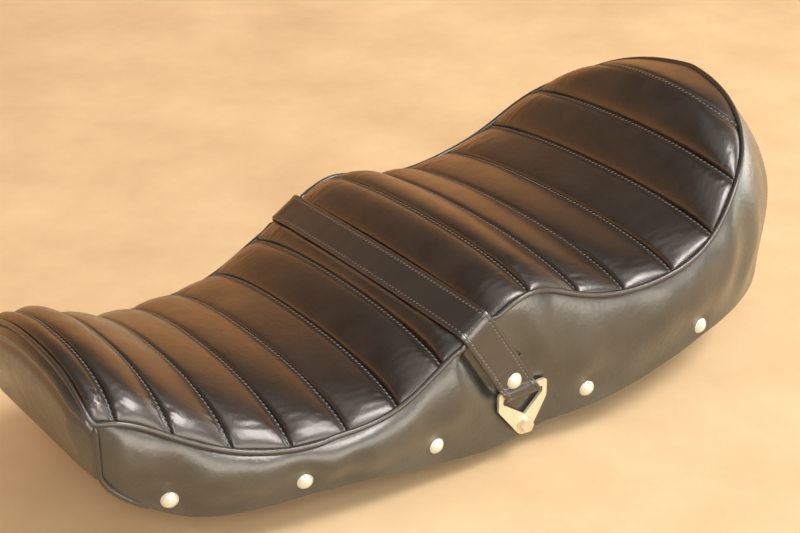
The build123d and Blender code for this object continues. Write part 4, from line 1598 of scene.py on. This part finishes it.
@dataclass(frozen=True)
class Skirt:
    """Leather round the seat's sides, front and tail, tucked round its hem.

    Sizes are in millimetres and v is the share of the way down. A range is where a cubic
    step starts and ends.
    """
    form: SeatForm
    rows: int = 46
    crowding: float = 1.15
    thick: float = 2.0
    hem_points: int = 8
    # Bulge
    bulge: float = 8.5
    peak: float = 0.42
    peak_power: float = 2.4
    fall: float = 0.85
    fall_end: float = 0.95
    tuck: float = 2.2
    tuck_depth: float = 0.045
    # Slow waves
    ripple: float = 0.55
    ripple_power: float = 0.7
    waves: int = 9
    wave_length: Pair = (34.0, 120.0)
    wave_tilt: float = 1.2
    wave_reach: float = 3.0
    front_calm: float = 12.0
    seed: int = 4
    # Where it is held in
    studs: tuple[Station, ...] = (
        Station(276.6, -65.3), Station(179.8, -71.0), Station(64.5, -79.4),
        Station(-81.6, -75.0), Station(-199.5, -52.0))
    stud_width: float = 13.0
    corner_range: Pair = (3.0, 22.0)
    strap_range: Pair = (1.0, 26.0)
    dent: float = 6.0
    dent_beside: float = 3.5
    dent_width: float = 5.5
    dent_start: Pair = (0.02, 0.12)
    dent_foot: Pair = (-58.0, -48.0)
    # Rolled lip of the front: height, distance down and width of a bell
    lip: Triple = (3.5, 6.5, 3.2)
    lip_dip: Triple = (1.5, 12.5, 3.0)
    lip_range: Pair = (3.0, 1.0)

    def slow_waves(self, x: np.ndarray, v: np.ndarray, travelled: np.ndarray) -> np.ndarray:
        """Slow seeded sine waves round the seat, none at the front and at top and hem.

        Args:
            x: (m, rows) places along the seat.
            v: (rows,) share of the way down.
            travelled: (m,) distance round the seat.

        Returns:
            Array (m, rows): the sum of sin(tau * travelled / length + tilt * v + phase),
            times ripple * sin(pi v)^0.7.
        """
        random = np.random.default_rng(self.seed)
        length = random.uniform(*self.wave_length, self.waves)
        tilt = random.uniform(-self.wave_tilt, self.wave_tilt, self.waves)
        phase = random.uniform(0.0, math.tau, self.waves)
        turn = (math.tau * travelled[:, None, None] / length
                + tilt * self.wave_reach * v[None, :, None] + phase)
        waves = np.sin(turn).sum(2) * self.ripple * np.sin(math.pi * v) ** self.ripple_power
        return waves * smooth_step(self.form.front_x, self.form.front_x - self.front_calm, x)

    def held(self, base: np.ndarray) -> np.ndarray:
        """Share of the bulge that is left near the studs and the front corners.

        Args:
            base: (m, rows, 3) points of the plain wall.

        Returns:
            Array (m, rows): 1 less a bell for each stud, times a step round the corner.
        """
        left = np.ones(base.shape[:2])
        for stud in self.studs:
            gap = np.hypot(base[..., 0] - stud.x, base[..., 2] - stud.z)
            left = left * (1.0 - bell(gap, 0.0, self.stud_width))
        corner = np.hypot(base[..., 0] - self.form.front_x,
                          np.abs(base[..., 1]) - self.form.front_half)
        return left * smooth_step(*self.corner_range, corner)

    def swell(self, base: np.ndarray, v: np.ndarray, travelled: np.ndarray) -> np.ndarray:
        """How far the leather stands out of the wall.

        It rises to the bulge at v = peak as 1 - ((peak - v) / peak)^2.4 and falls off below
        as a cubic step. It is held in at the studs and beside the strap, where it has a
        dent, and slow waves run over the rest. The front has a rolled lip, and the top is
        tucked under the piping by tuck * exp(-v / tuck_depth).

        Args:
            base: (m, rows, 3) points of the plain wall.
            v: (rows,) share of the way down.
            travelled: (m,) distance round the seat.

        Returns:
            Array (m, rows).
        """
        rising = 1.0 - (np.clip(self.peak - v, 0.0, None) / self.peak) ** self.peak_power
        fall = 1.0 - self.fall * smooth_step(self.peak, self.fall_end, v)
        out = self.bulge * np.where(v < self.peak, rising, fall)[None, :]
        strap = Strap(self.form)
        across = (base - strap.origin()) @ strap.directions()[0]
        beside = smooth_step(strap.width / 2 + self.strap_range[0],
                             strap.width / 2 + self.strap_range[1], np.abs(across))
        dented = (self.dent * bell(across, strap.width / 2 + self.dent_beside, self.dent_width)
                  * smooth_step(*self.dent_start, v) * smooth_step(*self.dent_foot, base[..., 2]))
        front = self.form.nearing_front(base[..., 0], self.lip_range)
        drop = base[:, :1, 2] - base[..., 2]
        lip = (self.lip[0] * front * bell(drop, *self.lip[1:])
               - self.lip_dip[0] * front * bell(drop, *self.lip_dip[1:]))
        waves = self.slow_waves(base[..., 0], v, travelled)
        tucked = self.tuck * np.exp(-v / self.tuck_depth)
        return (out + waves) * beside * self.held(base) + lip - dented - tucked

    def build(self, material: bpy.types.Material) -> None:
        """Make the skirt: outer face, rolled hem and inner face, closed round the seat.

        The outer face is wall + out * swell, the hem a half circle under it, and the inner
        face lies thick further in, with every other row.

        Args:
            material: the leather.
        """
        outlines = self.form.loop_outlines()
        top = self.form.rim_heights(outlines)
        hem = self.form.side_line(self.form.hem, outlines[2, :, 0])
        v = np.linspace(0.0, 1.0, self.rows) ** self.crowding
        z = top[:, None] + (hem - top)[:, None] * v[None, :]
        base = np.concatenate([self.form.wall(outlines, z), z[..., None]], 2)
        out = outward(base)
        travelled = along(base[:, self.rows // 2])
        face = base + self.swell(base, v, travelled)[..., None] * out
        turn = np.linspace(0.0, math.pi, self.hem_points)[1:-1]
        roll = self.thick / 2
        down = np.array([0.0, 0.0, -1.0])
        hem_roll = (face[:, -1:, :] - (roll * (1.0 - np.cos(turn)))[None, :, None] * out[:, -1:]
                    + (roll * np.sin(turn))[None, :, None] * down)
        inside = (face - self.thick * out)[:, ::-2]
        grid = np.concatenate([face, hem_roll, inside], 1)
        count, sides = grid.shape[:2]
        faces = grid_faces(count, sides, wrap_rows=True, wrap_columns=True).tolist()
        made = make_object("skirt_leather", self.form.place(grid.reshape(-1, 3)), faces, "seat",
                           material)
        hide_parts("skirt")


@dataclass(frozen=True)
class Piping:
    """Bead between the top panel and the skirt, and the bound front edge.

    Sizes are in millimetres. A range is where a cubic step starts and ends.
    """
    form: SeatForm
    sides: int = 12
    # Bead between top panel and skirt
    radius: float = 2.35
    nose_radius: float = 2.0
    nose_range: Pair = (5.0, 1.0)
    proud: float = 0.9
    sink: float = 2.6
    sunk_rear: Pair = (36.0, 50.0)
    sunk_front: Pair = (150.0, 172.0)
    strap_reach: float = 5.0
    # Bound edge of the front panel
    binding_r: float = 2.4
    binding_end: float = 285.0
    binding_top: float = 1.5
    binding_out: float = 0.8
    corner_reach: float = 12.0
    corner_weight: float = 0.7
    down_points: int = 40
    path_points: int = 90
    path_passes: int = 14
    taper: float = 4.0
    taper_least: float = 0.02
    hide: float = 3.6
    hide_over: float = 22.0
    turning: Pair = (0.35, 0.75)
    corner_out: Triple = (0.75, 0.66, 0.0)
    hem_out: Triple = (0.2, 1.0, 0.0)

    def welt(self, material: bpy.types.Material) -> None:
        """Closed bead round the seat's edge, sunk into the fold beside the thighs.

        It stands out of the wall by proud, less sink times a smooth window along x.

        Args:
            material: its finish.
        """
        outlines = self.form.loop_outlines()
        z = self.form.rim_heights(outlines)
        line = np.concatenate([self.form.wall(outlines, z), z[:, None]], 1)
        out = outward(line)
        x = line[:, 0]
        window = (1.0 - smooth_step(*self.sunk_front, x)) * smooth_step(*self.sunk_rear, x)
        strap = Strap(self.form)
        across = np.abs((line - strap.origin()) @ strap.directions()[0])
        under = 1.0 - smooth_step(strap.width / 2, strap.width / 2 + self.strap_reach, across)
        centre = line + (self.proud - self.sink * np.maximum(window, under))[:, None] * out
        nose = self.form.nearing_front(x, self.nose_range)
        radius = self.radius + (self.nose_radius - self.radius) * nose
        vertices, faces = tube(centre, out, radius, self.sides, True)
        made = make_object("piping_bead", self.form.place(vertices), faces, "seat", material)
        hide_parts("welt")

    def binding_path(self) -> tuple[np.ndarray, np.ndarray]:
        """Line down the left front corner of the wall and back along the hem, softened.

        Returns:
            Points (points, 3) and their distances along the line before it is softened.
        """
        form = self.form
        outlines = form.loop_outlines()
        x, y = outlines[0].T
        near = x > form.front_x - self.corner_reach
        corner = int(np.argmax(x * self.corner_weight + y * near))
        front = np.array([form.front_x])
        top = form.edge_height(front)[0] - self.binding_top
        z = np.linspace(top, form.side_line(form.hem, front)[0], self.down_points)
        edge = np.repeat(outlines[:, corner:corner + 1], len(z), 1)
        down = np.concatenate([form.wall(edge, z), z[:, None]], 1)
        behind = outlines[:, corner:corner + self.down_points]
        behind = behind[:, behind[2, :, 0] > self.binding_end]
        hem = form.side_line(form.hem, behind[2, :, 0])
        back = np.concatenate([form.wall(behind, hem), hem[:, None]], 1)
        path = np.concatenate([down, back[2:]])
        places = np.linspace(0.0, along(path)[-1], self.path_points)
        path = soften(spaced(path, [], places)[0], self.path_passes, closed=False)
        return path, places

    def binding(self, material: bpy.types.Material) -> None:
        """Bead down each front corner and back along the hem.

        It faces forward at the corner and sideways on the hem, its ends are rounded, and its
        rear end slips in under the skirt.

        Args:
            material: its finish.
        """
        path, places = self.binding_path()
        whole = places[-1]
        ending = smooth_step(whole - self.hide_over, whole, places)[:, None]
        path = path + ending * np.array([0.0, -self.hide, 0.0])
        share = smooth_step(*self.turning, places / whole)[:, None]
        out = unit((1.0 - share) * np.array(self.corner_out) + share * np.array(self.hem_out))
        ends = np.minimum(places, whole - places)
        radius = self.binding_r * np.sqrt(np.clip(ends / self.taper, self.taper_least, 1.0))
        left = tube(path + self.binding_out * out, out, radius, self.sides, False)
        vertices, faces = joined([left, mirrored(left)])
        made = make_object("bound_edge", self.form.place(vertices), faces, "seat", material)
        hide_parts("front_binding")


def dress_metal() -> None:
    """Give every CAD node that stays its finish, by the start of its name."""
    finish = {
        "strap_plate": PLATED.build(), "strap_bolt": NICKEL.build(),
        "hinge_bracket": BLACK.build(), "bumpers": BUFFER.build(),
    }
    finish["strap_stud"] = finish["skirt_studs"] = STUD.build()
    finish["hinge_pin"] = finish["latch_striker"] = finish["strap_bolt"]
    finish["hinge_arm"] = finish["seat_pan"] = finish["hinge_bracket"]
    for name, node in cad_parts.items():
        for start, material in finish.items():
            if name.startswith(start):
                node.data.materials.clear()
                node.data.materials.append(material)
                log.info("%s: %s", name, material.name)


@dataclass(frozen=True)
class Lamp:
    """Soft lamp: where it stands, what it points at, its size, power and colour."""
    name: str
    place: Triple
    aim: Triple
    size: Pair
    power: float
    colour: Triple

    def build(self) -> None:
        """Make the area lamp; the camera doesn't see the lamp itself."""
        data = bpy.data.lights.new(self.name, "AREA")
        data.shape = "RECTANGLE"
        data.size, data.size_y = self.size
        data.energy = self.power
        data.color = self.colour
        lamp = bpy.data.objects.new(self.name, data)
        lamp.location = self.place
        lamp.visible_camera = False
        towards = Vector(self.aim) - Vector(self.place)
        lamp.rotation_euler = towards.to_track_quat("-Z", "Y").to_euler()
        bpy.context.scene.collection.objects.link(lamp)


@dataclass(frozen=True)
class Stage:
    """Floor, lamps, sky and the camera. The floor clears the edge of the raised seat."""
    floor_colour: Triple = (0.87, 0.68, 0.41)
    floor_shade: Triple = (0.70, 0.50, 0.28)
    floor_gloss: float = 0.85
    floor_size: float = 9.0
    floor_gap: float = 0.017
    mottle: Noise = Noise(7.0, 8.0, 0.62)
    mottle_range: Pair = (0.25, 0.75)
    warm_sky: Triple = (1.30, 0.58, 0.21)
    cool_sky: Triple = (0.62, 0.56, 0.48)
    high_sky: Triple = (0.14, 0.12, 0.10)
    cool_range: Pair = (-0.25, 0.45)
    high_range: Pair = (0.30, 0.72)
    sky_strength: float = 0.87
    camera_place: Triple = (0.7665, 1.1415, 0.7448)
    camera_forward: Triple = (-0.5232, -0.7273, -0.4442)
    camera_lens: float = 80.11
    camera_sensor: float = 36.0
    lamps: tuple[Lamp, ...] = (
        Lamp("key", (-1.66, 2.22, 3.80), (0.0, 0.08, 0.08), (2.2, 1.3), 164.0,
             (1.0, 0.92, 0.86)),
        Lamp("side", (2.20, 3.22, 2.64), (0.0, 0.08, 0.08), (1.6, 1.4), 78.0,
             (1.0, 0.92, 0.86)),
        Lamp("low", (-1.76, 12.0, 3.15), (0.0, 0.15, 0.10), (11.7, 5.16), 840.0,
             (1.0, 0.88, 0.74)),
        Lamp("overhead", (0.0, 0.0, 2.5), (0.0, 0.08, 0.0), (1.6, 1.6), 5.0,
             (1.0, 0.92, 0.84)),
        Lamp("rear", (-6.3, 0.75, 1.25), (-0.3, 0.15, 0.05), (4.2, 2.4), 140.0,
             (0.95, 1.0, 0.93)),
    )

    def build(self) -> None:
        """Make the stage."""
        self.build_floor()
        for lamp in self.lamps:
            lamp.build()
        self.build_sky()
        self.build_camera()
        bpy.context.scene.view_settings.view_transform = "Standard"

    def build_floor(self) -> None:
        """Square of mottled pale cloth, floor_gap under the lowest point of the seat."""
        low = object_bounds()[0][2] - self.floor_gap
        half = self.floor_size / 2
        corners = [(-half, -half, low), (half, -half, low), (half, half, low),
                   (-half, half, low)]
        mesh = bpy.data.meshes.new("floor")
        mesh.from_pydata(corners, [], [(0, 1, 2, 3)])
        nodes = Nodes("floor_cloth")
        share = nodes.span(nodes.noise(self.mottle), self.mottle_range, (0.0, 1.0))
        nodes.shade("Base Color", nodes.blend(share, self.floor_colour, self.floor_shade))
        nodes.shade("Roughness", self.floor_gloss)
        mesh.materials.append(nodes.material)
        floor = bpy.data.objects.new("floor", mesh)
        bpy.context.scene.collection.objects.link(floor)
        floor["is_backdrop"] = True

    def build_sky(self) -> None:
        """Soft light: warm and low behind the seat, greyer in front of it, dim overhead."""
        world = bpy.data.worlds.new("sky")
        world.use_nodes = True
        tree = world.node_tree
        back = tree.nodes["Background"]
        place = tree.nodes.new("ShaderNodeTexCoord")
        split = tree.nodes.new("ShaderNodeSeparateXYZ")
        tree.links.new(place.outputs["Generated"], split.inputs[0])
        shares = []
        for axis, limits in (("Y", self.cool_range), ("Z", self.high_range)):
            span = tree.nodes.new("ShaderNodeMapRange")
            span.interpolation_type = "SMOOTHSTEP"
            span.inputs["From Min"].default_value = limits[0]
            span.inputs["From Max"].default_value = limits[1]
            tree.links.new(split.outputs[axis], span.inputs["Value"])
            shares.append(span.outputs["Result"])
        colour = None
        for share, after in zip(shares, (self.cool_sky, self.high_sky)):
            mix = tree.nodes.new("ShaderNodeMix")
            mix.data_type = "RGBA"
            tree.links.new(share, mix.inputs["Factor"])
            mix.inputs[MIX_FIRST].default_value = rgba(self.warm_sky)
            if colour is not None:
                tree.links.new(colour, mix.inputs[MIX_FIRST])
            mix.inputs[MIX_SECOND].default_value = rgba(after)
            colour = mix.outputs[MIX_RESULT]
        tree.links.new(colour, back.inputs["Color"])
        back.inputs["Strength"].default_value = self.sky_strength
        bpy.context.scene.world = world

    def build_camera(self) -> None:
        """Camera at the photograph's viewing angle and framing."""
        data = bpy.data.cameras.new("camera")
        data.lens = self.camera_lens
        data.sensor_width = self.camera_sensor
        data.sensor_fit = "HORIZONTAL"
        camera = bpy.data.objects.new("camera", data)
        camera.location = self.camera_place
        camera.rotation_euler = Vector(self.camera_forward).to_track_quat("-Z", "Y").to_euler()
        bpy.context.scene.collection.objects.link(camera)
        bpy.context.scene.camera = camera


def main() -> None:
    """Build the seat's looks and its stage."""
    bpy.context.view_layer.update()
    form = SeatForm()
    thread = THREAD.build()
    piping = PIPING.build()
    TopPanel(form).build(TOP_LEATHER.build(), thread)
    Skirt(form).build(SIDE_LEATHER.build())
    Piping(form).welt(piping)
    Piping(form).binding(piping)
    Strap(form).build(STRAP_LEATHER.build(), thread)
    dress_metal()
    Stage().build()


if __name__ == "__main__":
    main()
